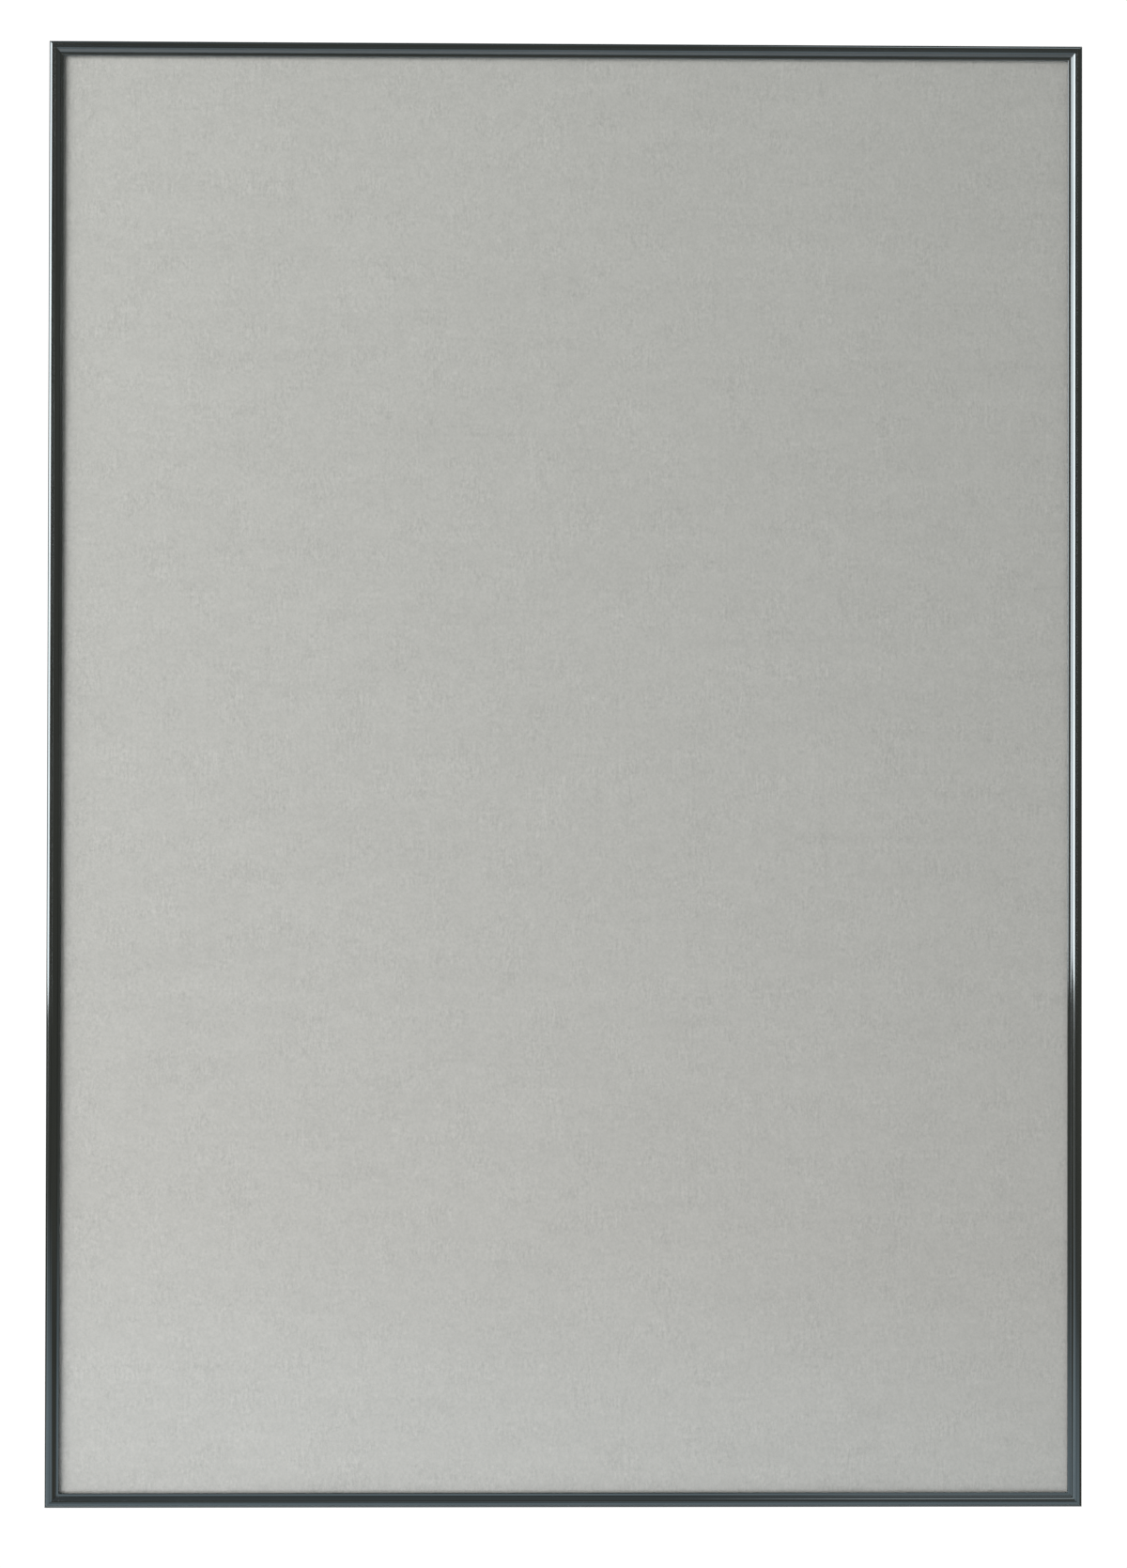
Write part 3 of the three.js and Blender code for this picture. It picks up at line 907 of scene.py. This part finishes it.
# %% Make the clear sheet
acrylic_tint = (0.99, 1.0, 0.995)
mirror_tint = (0.9, 0.96, 0.95)
acrylic_ior = 1.49
straight_mirror = 0.035


def clear_acrylic():
    """See-through, with a mirror that grows from the straight view's share to a full one at a glance."""
    finish, shader = new_finish("clear_acrylic")
    place = own_place(finish)
    smear = pattern(finish, place, (7, 1, 5), detail=4, roughness=0.6, distortion=0.8)
    wire(finish, remap(finish, smear, 0.35, 0.75, 0.02, 0.09), shader.inputs["Roughness"])
    shader.inputs["Base Color"].default_value = (*mirror_tint, 1)
    shader.inputs["IOR"].default_value = acrylic_ior
    shader.inputs["Metallic"].default_value = 1.0
    clear = node(finish, "ShaderNodeBsdfTransparent", color=(*acrylic_tint, 1))
    glance = node(finish, "ShaderNodeLayerWeight", blend=0.5)
    grazing = combine(finish, "POWER", glance.outputs["Facing"], 5.0)
    mirror = remap(finish, grazing, 0.0, 1.0, straight_mirror, 1.0)
    mix = node(finish, "ShaderNodeMixShader")
    output = finish.node_tree.nodes["Material Output"]
    wire(finish, mirror, mix.inputs["Fac"])
    wire(finish, clear.outputs["BSDF"], mix.inputs[1])
    wire(finish, shader.outputs["BSDF"], mix.inputs[2])
    wire(finish, mix.outputs["Shader"], output.inputs["Surface"])
    return finish


clear_sheet = flat_sheet("clear_sheet", "clear_acrylic_sheet", clear_acrylic(), corner=1.0, edge=0.25)
print("clear sheet in mm:", [in_mm(side) for side in clear_sheet.dimensions])

# %% [markdown]
# The hardboard back
#
# Hardboard is pressed wood fibre: brown, mottled and, on its back, printed with the fine square mesh of the
# screen that it was pressed on. Modelled, that mesh would take more faces than all the rest, so it is a bump
# made of two wave patterns at right angles.

# %% Make the hardboard back
screen_pitch = 1.9 * mm
screen_depth = 0.25 * mm
band_at_scale_one = math.pi / 10
board_dark = (0.11, 0.058, 0.03)
board_brown = (0.19, 0.108, 0.058)
board_light = (0.29, 0.18, 0.105)


def screen_waves(finish, place, direction):
    """Bands across one direction, one for each wire of the screen."""
    wave = node(finish, "ShaderNodeTexWave", bands_direction=direction,
                scale=band_at_scale_one / screen_pitch, distortion=0.6, detail=1.0)
    wire(finish, place, wave.inputs["Vector"])
    return wave.outputs["Fac"]


def screen_backed_hardboard():
    """Mottled brown fibre with the screen's mesh pressed into it."""
    finish, shader = new_finish("screen_backed_hardboard")
    place = own_place(finish)
    weave = combine(finish, "MULTIPLY", screen_waves(finish, place, "X"), screen_waves(finish, place, "Z"))
    fibre = pattern(finish, place, (420, 420, 260), detail=5, roughness=0.65, distortion=0.5)
    mottle = pattern(finish, place, (16, 16, 12), detail=4, roughness=0.6)
    tone = weighted_sum(finish, (fibre, 0.45), (mottle, 0.45), (weave, 0.12))
    brown = colours(finish, tone, (0.34, board_dark), (0.5, board_brown), (0.66, board_light))
    wire(finish, brown, shader.inputs["Base Color"])
    wire(finish, remap(finish, fibre, 0.3, 0.7, 0.9, 0.7), shader.inputs["Roughness"])
    emboss(finish, shader, weighted_sum(finish, (weave, 0.7), (fibre, 0.4)), screen_depth)
    return finish


hardboard = flat_sheet("backing_board", "hardboard_back", screen_backed_hardboard(), corner=0.6, edge=0.35)
print("hardboard in mm:", [in_mm(side) for side in hardboard.dimensions])

# %% [markdown]
# Finishes of the hardware
#
# The corner angles, hangers and nuts are zinc plated: a pale metal with a faint crystal mottle and fine
# tumbling scratches. The bow springs are blued spring steel and the set screws black oxide. Each could get
# a tree of nodes of its own, but the three metals differ only in colour, shine and grain, so one function
# makes them all.


# %% Make the hardware finishes
def worn_metal(name, dark, light, smooth, rough, grain_scale, grain_depth):
    """A plated or blued metal, mottled at grain_scale waves a metre."""
    finish, shader = new_finish(name)
    place = own_place(finish)
    mottle = pattern(finish, place, (grain_scale,) * 3, detail=5, roughness=0.65, distortion=0.4)
    scratches = pattern(finish, place, (2600, 2600, 180), detail=2, roughness=0.5)
    tone = weighted_sum(finish, (mottle, 0.75), (scratches, 0.25))
    wire(finish, colours(finish, tone, (0.32, dark), (0.68, light)), shader.inputs["Base Color"])
    wire(finish, remap(finish, mottle, 0.3, 0.7, smooth, rough), shader.inputs["Roughness"])
    shader.inputs["Metallic"].default_value = 1.0
    emboss(finish, shader, tone, grain_depth)
    return finish


zinc = worn_metal("zinc_plated_steel", dark=(0.5, 0.51, 0.5), light=(0.7, 0.71, 0.7),
                  smooth=0.26, rough=0.42, grain_scale=320, grain_depth=0.008 * mm)
blued = worn_metal("blued_spring_steel", dark=(0.05, 0.06, 0.085), light=(0.16, 0.18, 0.24),
                   smooth=0.2, rough=0.34, grain_scale=260, grain_depth=0.004 * mm)
black_oxide = worn_metal("black_oxide_steel", dark=(0.02, 0.02, 0.021), light=(0.06, 0.06, 0.062),
                         smooth=0.3, rough=0.46, grain_scale=500, grain_depth=0.006 * mm)
print("hardware finishes:", [finish.name for finish in (zinc, blued, black_oxide)])

# %% [markdown]
# The line of a bow spring
#
# A bow spring is a springy strip, bent so that its middle presses on the backing board and its ends bear
# on the rail's flange, where they curl forward so that they slide in without scraping. Its side view is
# one wide arc with a small curl at each end. It could be bent by eye, but an arc that is worked out from
# the space between board and flange reaches both of them whatever lies in the frame.

# %% Draw the spring's line
spring_length = 58.0
spring_thickness = 0.5
spring_curl_radius = 1.1
spring_curl_angle = math.radians(60)
arc_steps = 16
curl_steps = 10


def spring_line():
    """The strip's centre line on one side of its middle: along, depth and heading."""
    front = board_back + spring_seat_gap
    rise = flange_front - spring_seat_gap - front - spring_thickness
    half = spring_length / 2
    wide_radius = (half * half + rise * rise) / (2 * rise) - spring_curl_radius
    wide_angle = math.atan2(half, wide_radius + spring_curl_radius - rise)
    middle = front + spring_thickness / 2
    line = []
    for step in range(arc_steps + 1):
        heading = wide_angle * step / arc_steps
        line.append((wide_radius * math.sin(heading),
                     middle + wide_radius * (1 - math.cos(heading)), heading))
    curl_along = line[-1][0] + spring_curl_radius * math.sin(wide_angle)
    curl_depth = line[-1][1] - spring_curl_radius * math.cos(wide_angle)
    for step in range(1, curl_steps + 1):
        heading = wide_angle - spring_curl_angle * step / curl_steps
        line.append((curl_along - spring_curl_radius * math.sin(heading),
                     curl_depth + spring_curl_radius * math.cos(heading), heading))
    return line


print("points along half a spring:", len(spring_line()))

# %% [markdown]
# The bow springs
#
# The top and bottom rails hold two springs each and the side rails three. A curve object could be extruded
# into such a strip, but a side view that is offset by the strip's thickness goes through the slab tool,
# which rounds its edges too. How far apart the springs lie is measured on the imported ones.

# %% Make the bow springs
spring_width = 12.0
spring_inset = 2.6
spring_edge = 0.14
end_spring_pitch = in_mm(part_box("bottom_bow_spring_2")[0][0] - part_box("bottom_bow_spring_1")[0][0])
side_spring_pitch = in_mm(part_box("right_bow_spring_2")[0][2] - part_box("right_bow_spring_1")[0][2])


def spring_outline():
    """The side view of the whole strip, as a loop."""
    half = spring_line()
    line = [(-along, depth, -heading) for along, depth, heading in reversed(half[1:])] + half

    def offset(distance):
        return [(along - distance * math.sin(heading), depth + distance * math.cos(heading))
                for along, depth, heading in line]

    return offset(-spring_thickness / 2) + offset(spring_thickness / 2)[::-1]


def bow_spring(side, number, centre):
    """A spring on one rail, with its middle at a place along that rail."""
    bm = slab([spring_outline()], spring_inset, spring_inset + spring_width, spring_edge,
              lambda along, depth, inwards: on_side(side, centre + along, depth, inwards), round_steps=2)
    piece = finished_mesh(f"{side}_bow_spring_{number}_strip", bm, blued)
    return stand_for(piece, f"{side}_bow_spring_{number}")


for side in ("bottom", "top"):
    for number, centre in enumerate((-end_spring_pitch / 2, end_spring_pitch / 2), 1):
        bow_spring(side, number, centre)
for side in ("left", "right"):
    for number, centre in enumerate((-side_spring_pitch, 0, side_spring_pitch), 1):
        bow_spring(side, number, centre)
print("spring pitches in mm:", end_spring_pitch, "and", side_spring_pitch)

# %% [markdown]
# The shape of a corner angle
#
# The plates that join the rails are L-shaped and punched from strip, so their ends are rounded and their
# outer corner is cut off. The tapped ones have two holes for set screws. Such a plate could be cut out of
# a square with Booleans, but an outline that is measured inwards from the frame's corner is shorter, and
# serves all four corners.

# %% Draw the corner angle
plate_width = 9.0
plate_side_clearance = 0.3
plate_leg_length = 40.0
plate_corner_cut = 2.5
plate_end_rounding = 1.5
set_screw_from_end = 13.0


def angle_outline():
    """The plate's outline, from the frame's outer corner along both legs."""
    near = rail_wall + plate_side_clearance
    far = near + plate_width
    end = near + plate_leg_length
    turn = plate_end_rounding
    points = [(near + plate_corner_cut, near)]
    points += arc((end - turn, near + turn), turn, -90, 0, 6)
    points += arc((end - turn, far - turn), turn, 0, 90, 6)
    points += [(far, far)]
    points += arc((far - turn, end - turn), turn, 0, 90, 6)
    points += arc((near + turn, end - turn), turn, 90, 180, 6)
    points += [(near, near + plate_corner_cut)]
    return points


def round_hole(diameter, centre, sides=32):
    """A hole, run so that the plate is on its left."""
    return arc(centre, diameter / 2, 360, 360 / sides, sides - 1)


screw_along = rail_wall + plate_side_clearance + plate_leg_length - set_screw_from_end
screw_places = {"across": (screw_along, channel_centre), "upright": (channel_centre, screw_along)}
print("set screws from the outer corner in mm:", round(screw_along, 2))

# %% [markdown]
# The corner angles
#
# Two of these plates slide into the rear channel at each corner: a thick tapped one under the lips of the
# channel and a thin one on its floor. Screws through the thick one press them apart and lock the corner.
# One corner could be made and the others copied and turned, but mirroring each point as it is placed
# leaves every piece in the frame's own space.

# %% Make the corner angles
set_screw_diameter = 4.0
screw_hole_clearance = 0.1
tapped_edge = 0.3
backing_edge = 0.15
corner_side = {"bottom_left": (-1, -1), "bottom_right": (1, -1), "top_right": (1, 1), "top_left": (-1, 1)}


def at_corner(name, across, upward, depth):
    """A place measured in from an outer corner of the frame, in mm."""
    side, height = corner_side[name]
    return Vector((side * (half_width - across * mm), depth * mm, height * (half_height - upward * mm)))


def corner_angle(corner, kind, holes, edge):
    """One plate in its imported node's place."""
    node_name = f"{corner}_{kind}_angle"
    low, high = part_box(node_name)
    bm = slab([angle_outline(), *holes], low[1] / mm, high[1] / mm, edge,
              lambda across, upward, depth: at_corner(corner, across, upward, depth))
    return stand_for(finished_mesh(f"{node_name}_plate", bm, zinc), node_name)


for corner in corner_side:
    screw_holes = [round_hole(set_screw_diameter + 2 * screw_hole_clearance, place)
                   for place in screw_places.values()]
    corner_angle(corner, "tapped", screw_holes, tapped_edge)
    corner_angle(corner, "backing", [], backing_edge)
print("corner angles at:", list(corner_side))

# %% [markdown]
# The threads
#
# A screw is a turned blank with a thread and a driver slot. The thread could be a bump, but it shows against
# the light, so it is a real helix: each ring of points is as wide as the thread is at that height and that
# turn. It fades out over one pitch at both ends.

# %% Cut the thread
thread_pitch = 0.7
thread_depth = 0.3
rings_in_a_pitch = 8
screw_sides = 36


def threaded(profile, low, high, place):
    """A turned screw whose shank between two heights carries a thread."""
    shank = max(radius for radius, height in profile if low <= height <= high)
    steps = max(2, round((high - low) / (thread_pitch / rings_in_a_pitch)))
    before = [point for point in profile if point[1] < low]
    after = [point for point in profile if point[1] > high]
    thread = [(shank, low + (high - low) * step / steps) for step in range(steps + 1)]
    whole = [*before, *thread, *after]
    bm = bmesh.new()
    rings = []
    for radius, height in whole[1:-1]:
        ring = []
        for step in range(screw_sides):
            turn = step / screw_sides
            inwards = 0.0
            if low < height < high:
                phase = (height / thread_pitch - turn) % 1.0
                fade = min(1.0, (height - low) / thread_pitch, (high - height) / thread_pitch)
                inwards = thread_depth * fade * abs(2 * phase - 1)
            angle = 2 * math.pi * turn
            ring.append(bm.verts.new(place((radius - inwards) * math.cos(angle),
                                           (radius - inwards) * math.sin(angle), height)))
        rings.append(ring)
    for lower, upper in zip(rings, rings[1:]):
        bridge(bm, lower, upper)
    for ring in (rings[0], rings[-1]):
        bm.faces.new(ring).tag = True
    return bm


print("thread in mm:", thread_pitch, "pitch,", thread_depth, "deep")

# %% [markdown]
# The driver slots
#
# Each screw has a straight slot for a screwdriver. It could be built into the rings of the turned blank,
# but a Boolean is the surest way to take a straight groove out of a round end. The result is kept as a
# plain mesh, and the cutter is thrown away.

# %% Cut the slot
slot_width = 0.8
slot_depth = 0.9


def cut_slot(piece, centre, size):
    """Takes a box-shaped groove out of the piece."""
    cutter_mesh = bpy.data.meshes.new("slot_cutter")
    bm = bmesh.new()
    bmesh.ops.create_cube(bm, size=1.0, matrix=Matrix.LocRotScale(centre, None, Vector(size)))
    bm.to_mesh(cutter_mesh)
    bm.free()
    cutter = bpy.data.objects.new("slot_cutter", cutter_mesh)
    bpy.context.scene.collection.objects.link(cutter)
    change = piece.modifiers.new("slot", "BOOLEAN")
    change.operation = "DIFFERENCE"
    change.solver = "EXACT"
    change.object = cutter
    piece.modifiers["even_shading"].show_viewport = False
    shown = piece.evaluated_get(bpy.context.evaluated_depsgraph_get())
    cut_mesh = bpy.data.meshes.new_from_object(shown)
    cut_mesh.set_sharp_from_angle(angle=sharp_angle)
    piece.modifiers.remove(change)
    piece.modifiers["even_shading"].show_viewport = True
    piece.data = cut_mesh
    bpy.data.objects.remove(cutter)
    bpy.data.meshes.remove(cutter_mesh)


print("driver slot in mm:", slot_width, "by", slot_depth)

# %% [markdown]
# The screws
#
# A set screw is headless, so that it can sink into its plate, and its top only has an eased edge. A hanger
# screw has a low domed head that clamps the hanger's plate. Each kind could have a function of its own,
# but they share their point and their thread, so one function makes both and is handed the end above the
# thread.

# %% Make the screws
point_cone = 0.5
top_ease = 0.2
neck = 0.3
head_radius = 3.7
head_height = 1.9
head_dome = 1.1
head_rim = 0.15
long_slot = 12.0


def set_screw_top(radius, top):
    """The profile above the thread of a headless screw. It starts where the thread ends."""
    return [(radius, top - top_ease), (radius - top_ease, top), (0, top)]


def domed_head(radius, top):
    """The profile above the thread of a screw with a head. It starts where the thread ends."""
    seat = top - head_height
    dome = arc((head_radius - head_dome, top - head_dome), head_dome, 0, 90, 10)
    return [(radius, seat - neck), (radius, seat), (head_radius - head_rim, seat),
            (head_radius, seat + head_rim), *dome, (0, top)]


def screw(node_name, end, slot_length, finish):
    """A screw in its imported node's place, with the given end above its thread."""
    low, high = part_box(node_name)
    centre = (low + high) / 2
    bottom, top = low[1] / mm, high[1] / mm
    radius = set_screw_diameter / 2
    above = end(radius, top)
    profile = [(0, bottom), (radius - point_cone, bottom), (radius, bottom + point_cone), *above]

    def place(a, b, y):
        return Vector((centre[0] + a * mm, y * mm, centre[2] + b * mm))

    bm = threaded(profile, bottom + point_cone, above[0][1], place)
    piece = finished_mesh(f"{node_name}_threaded", bm, finish)
    cut_slot(piece, Vector((centre[0], high[1], centre[2])),
             (slot_length * mm, 2 * slot_depth * mm, slot_width * mm))
    return stand_for(piece, node_name)


for corner in corner_side:
    for leg in ("across", "upright"):
        screw(f"{corner}_set_screw_{leg}", set_screw_top, 2 * set_screw_diameter, black_oxide)
for side in ("left", "right"):
    screw(f"{side}_hanger_screw", domed_head, long_slot, zinc)
print("screws:", sum("screw" in name for name in frame["nodes"]))

# %% [markdown]
# The shape of a hanger
#
# Each hanger is a flat plate with an ear that reaches inwards and holds an eye for a nail or a hook. Foot
# and ear could be two rectangles joined by a Boolean. But such a plate is blanked in one stroke, so its
# outline is drawn as one loop of arcs, with rounded corners and with fillets where the ear leaves the
# foot.

# %% Draw the hanger
hanger_foot_width = 11.0
hanger_foot_length = 36.0
hanger_ear_reach = 24.0
hanger_ear_height = 19.0
hanger_rounding = 3.0
hanger_fillet = 4.0
foot_inner = channel_centre + hanger_foot_width / 2


def hanger_outline():
    """Inwards from the rail's outer edge, and up from the hanger's own middle."""
    outer = channel_centre - hanger_foot_width / 2
    foot = foot_inner
    reach = foot + hanger_ear_reach
    tall, ear = hanger_foot_length / 2, hanger_ear_height / 2
    turn, fillet = hanger_rounding, hanger_fillet
    points = arc((foot - turn, -tall + turn), turn, -90, 0, 7)
    points += arc((foot + fillet, -ear - fillet), fillet, 180, 90, 7)
    points += arc((reach - turn, -ear + turn), turn, -90, 0, 7)
    points += arc((reach - turn, ear - turn), turn, 0, 90, 7)
    points += arc((foot + fillet, ear + fillet), fillet, 270, 180, 7)
    points += arc((foot - turn, tall - turn), turn, 0, 90, 7)
    points += arc((outer + turn, tall - turn), turn, 90, 180, 7)
    points += arc((outer + turn, -tall + turn), turn, 180, 270, 7)
    return points


print("points in the hanger's outline:", len(hanger_outline()))

# %% [markdown]
# The hangers
#
# A hanger is clamped on the back of a side rail by a screw, whose nut slides in the rear channel, so plate
# and nut have one hole in common. A mirror modifier could make the second hanger, but the two slide each
# on its own, so each is a set of pieces of its own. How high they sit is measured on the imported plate.

# %% Make the hangers
eye_width = 15.0
eye_height = 9.0
eye_rounding = 3.0
eye_from_edge = 4.5
nut_width = 9.0
nut_length = 14.0
nut_rounding = 1.0
hanger_edge = 0.28
nut_edge = 0.25
hanger_screw_from_centre = 11.0
hanger_low, hanger_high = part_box("left_hanger_plate")
hanger_height = in_mm((hanger_low[2] + hanger_high[2]) / 2)


def on_side_rail(side, inwards, upward, depth):
    """A place behind a side rail, in from its outer edge and up from the hanger's middle, in mm."""
    mirror = -1 if side == "left" else 1
    return Vector((mirror * (half_width - inwards * mm), depth * mm, (hanger_height + upward) * mm))


def hanger(side):
    """The plate and the nut of one hanger, with the hole for their screw."""
    screw_place = (channel_centre, hanger_screw_from_centre)
    screw_hole = round_hole(set_screw_diameter + 2 * screw_hole_clearance, screw_place)
    eye_centre = foot_inner + hanger_ear_reach - eye_from_edge - eye_width / 2
    eye = rectangle(eye_width, eye_height, eye_rounding, centre=(eye_centre, 0), steps=7)[::-1]
    nut = rectangle(nut_width, nut_length, nut_rounding, centre=screw_place)
    for part, loops, edge in (("plate", [hanger_outline(), eye, screw_hole], hanger_edge),
                              ("nut", [nut, screw_hole], nut_edge)):
        node_name = f"{side}_hanger_{part}"
        low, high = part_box(node_name)
        bm = slab(loops, low[1] / mm, high[1] / mm, edge,
                  lambda inwards, upward, depth: on_side_rail(side, inwards, upward, depth))
        stand_for(finished_mesh(f"{node_name}_pressing", bm, zinc), node_name)


for side in ("left", "right"):
    hanger(side)
print("hangers above the frame's middle in mm:", hanger_height)

# %% [markdown]
# The bumpers' rubber
#
# The bumpers are soft dark rubber, dull and finely grained, with a little dust on it. A single black would
# hide the form, so the dust makes it paler and rougher in patches, and the grain is a shallow bump.

# %% Make the rubber
rubber_grain_depth = 0.03 * mm
rubber_black = (0.012, 0.012, 0.013)
rubber_dust = (0.05, 0.048, 0.045)


def bumper_rubber():
    """Dull black rubber with a fine grain and some dust."""
    finish, shader = new_finish("dusty_bumper_rubber")
    place = own_place(finish)
    grain = pattern(finish, place, (1500, 1500, 1500), detail=3)
    dust = pattern(finish, place, (180, 180, 180), detail=4, roughness=0.6)
    black = colours(finish, dust, (0.35, rubber_black), (0.75, rubber_dust))
    wire(finish, black, shader.inputs["Base Color"])
    wire(finish, remap(finish, dust, 0.3, 0.7, 0.62, 0.85), shader.inputs["Roughness"])
    emboss(finish, shader, grain, rubber_grain_depth)
    return finish


rubber = bumper_rubber()
print("bumper finish:", rubber.name)

# %% [markdown]
# Turned forms
#
# A bumper is moulded round, so it is a profile turned about its middle. The spin tool or a screw modifier
# could turn it, but rings of points that are written out close at both ends and can be placed at once.


# %% Turn a profile
def turned(profile, sides, place):
    """Turns (radius, height) points about the height axis. The profile starts and ends on the axis."""
    bm = bmesh.new()
    first = bm.verts.new(place(0, 0, profile[0][1]))
    last = bm.verts.new(place(0, 0, profile[-1][1]))
    rings = []
    for radius, height in profile[1:-1]:
        points = arc((0, 0), radius, 0, 360 - 360 / sides, sides - 1)
        rings.append([bm.verts.new(place(x, y, height)) for x, y in points])
    for lower, upper in zip(rings, rings[1:]):
        bridge(bm, lower, upper)
    for index in range(sides):
        after = (index + 1) % sides
        bm.faces.new((first, rings[0][after], rings[0][index]))
        bm.faces.new((last, rings[-1][index], rings[-1][after]))
    return bm


print("turning tool ready")

# %% [markdown]
# The wall bumpers
#
# A bumper is stuck over each lower corner. It keeps the frame off the wall and stops it from slipping
# sideways. Its rim is rounded and its back is very slightly dished, as moulded pads are. A cylinder with a
# bevel would do for the rim, but a turned profile takes the dish too.

# %% Make the wall bumpers
bumper_rounding = 1.2
bumper_foot_ease = 0.2
bumper_rim = 0.8
dish_slope = 0.4
dish_depth = 0.18
dish_middle_depth = 0.25
bumper_sides = 48


def bumper(side):
    """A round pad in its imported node's place, turned from the rail to the wall."""
    node_name = f"{side}_wall_bumper"
    low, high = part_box(node_name)
    radius = (high[0] - low[0]) / 2 / mm
    centre = (low + high) / 2
    front, back = low[1] / mm, high[1] / mm
    turn = bumper_rounding
    dish = radius - turn - bumper_rim
    profile = [(0, front), (radius - bumper_foot_ease, front), (radius, front + bumper_foot_ease)]
    profile += arc((radius - turn, back - turn), turn, 0, 90, 8)
    profile += [(dish, back), (dish - dish_slope, back - dish_depth), (0, back - dish_middle_depth)]
    bm = turned(profile, bumper_sides,
                lambda a, b, y: Vector((centre[0] + a * mm, y * mm, centre[2] + b * mm)))
    return stand_for(finished_mesh(f"{node_name}_pad", bm, rubber), node_name)


for side in ("left", "right"):
    pad = bumper(side)
print("bumper across in mm:", in_mm(pad.dimensions[0]))

# %% [markdown]
# The floor
#
# The frame hangs, so the floor lies well below it. It could be a plane without end, but that would show
# behind the frame in the main view. A plain pale disc is large enough to be seen in views from above and
# to show as a soft grey in the lower rail, and too small to reach into the main view.

# %% Make the floor
floor_radius = 1.7
floor_height = -1.25
floor_middle = (0, -0.1)
floor_sides = 96


def studio_floor():
    """A flat disc with a faintly uneven pale tone."""
    finish, shader = new_finish("pale_floor")
    place = own_place(finish)
    tone = pattern(finish, place, (3, 3, 3), detail=4)
    pale = colours(finish, tone, (0.35, (0.74, 0.74, 0.74)), (0.65, (0.78, 0.78, 0.78)))
    wire(finish, pale, shader.inputs["Base Color"])
    shader.inputs["Roughness"].default_value = 0.7
    bm = bmesh.new()
    rim = arc(floor_middle, floor_radius, 0, 360 - 360 / floor_sides, floor_sides - 1)
    bm.faces.new([bm.verts.new((x, y, floor_height)) for x, y in rim])
    floor = finished_mesh("studio_floor", bm, finish)


studio_floor()
print("floor below the frame's middle in metres:", -floor_height)
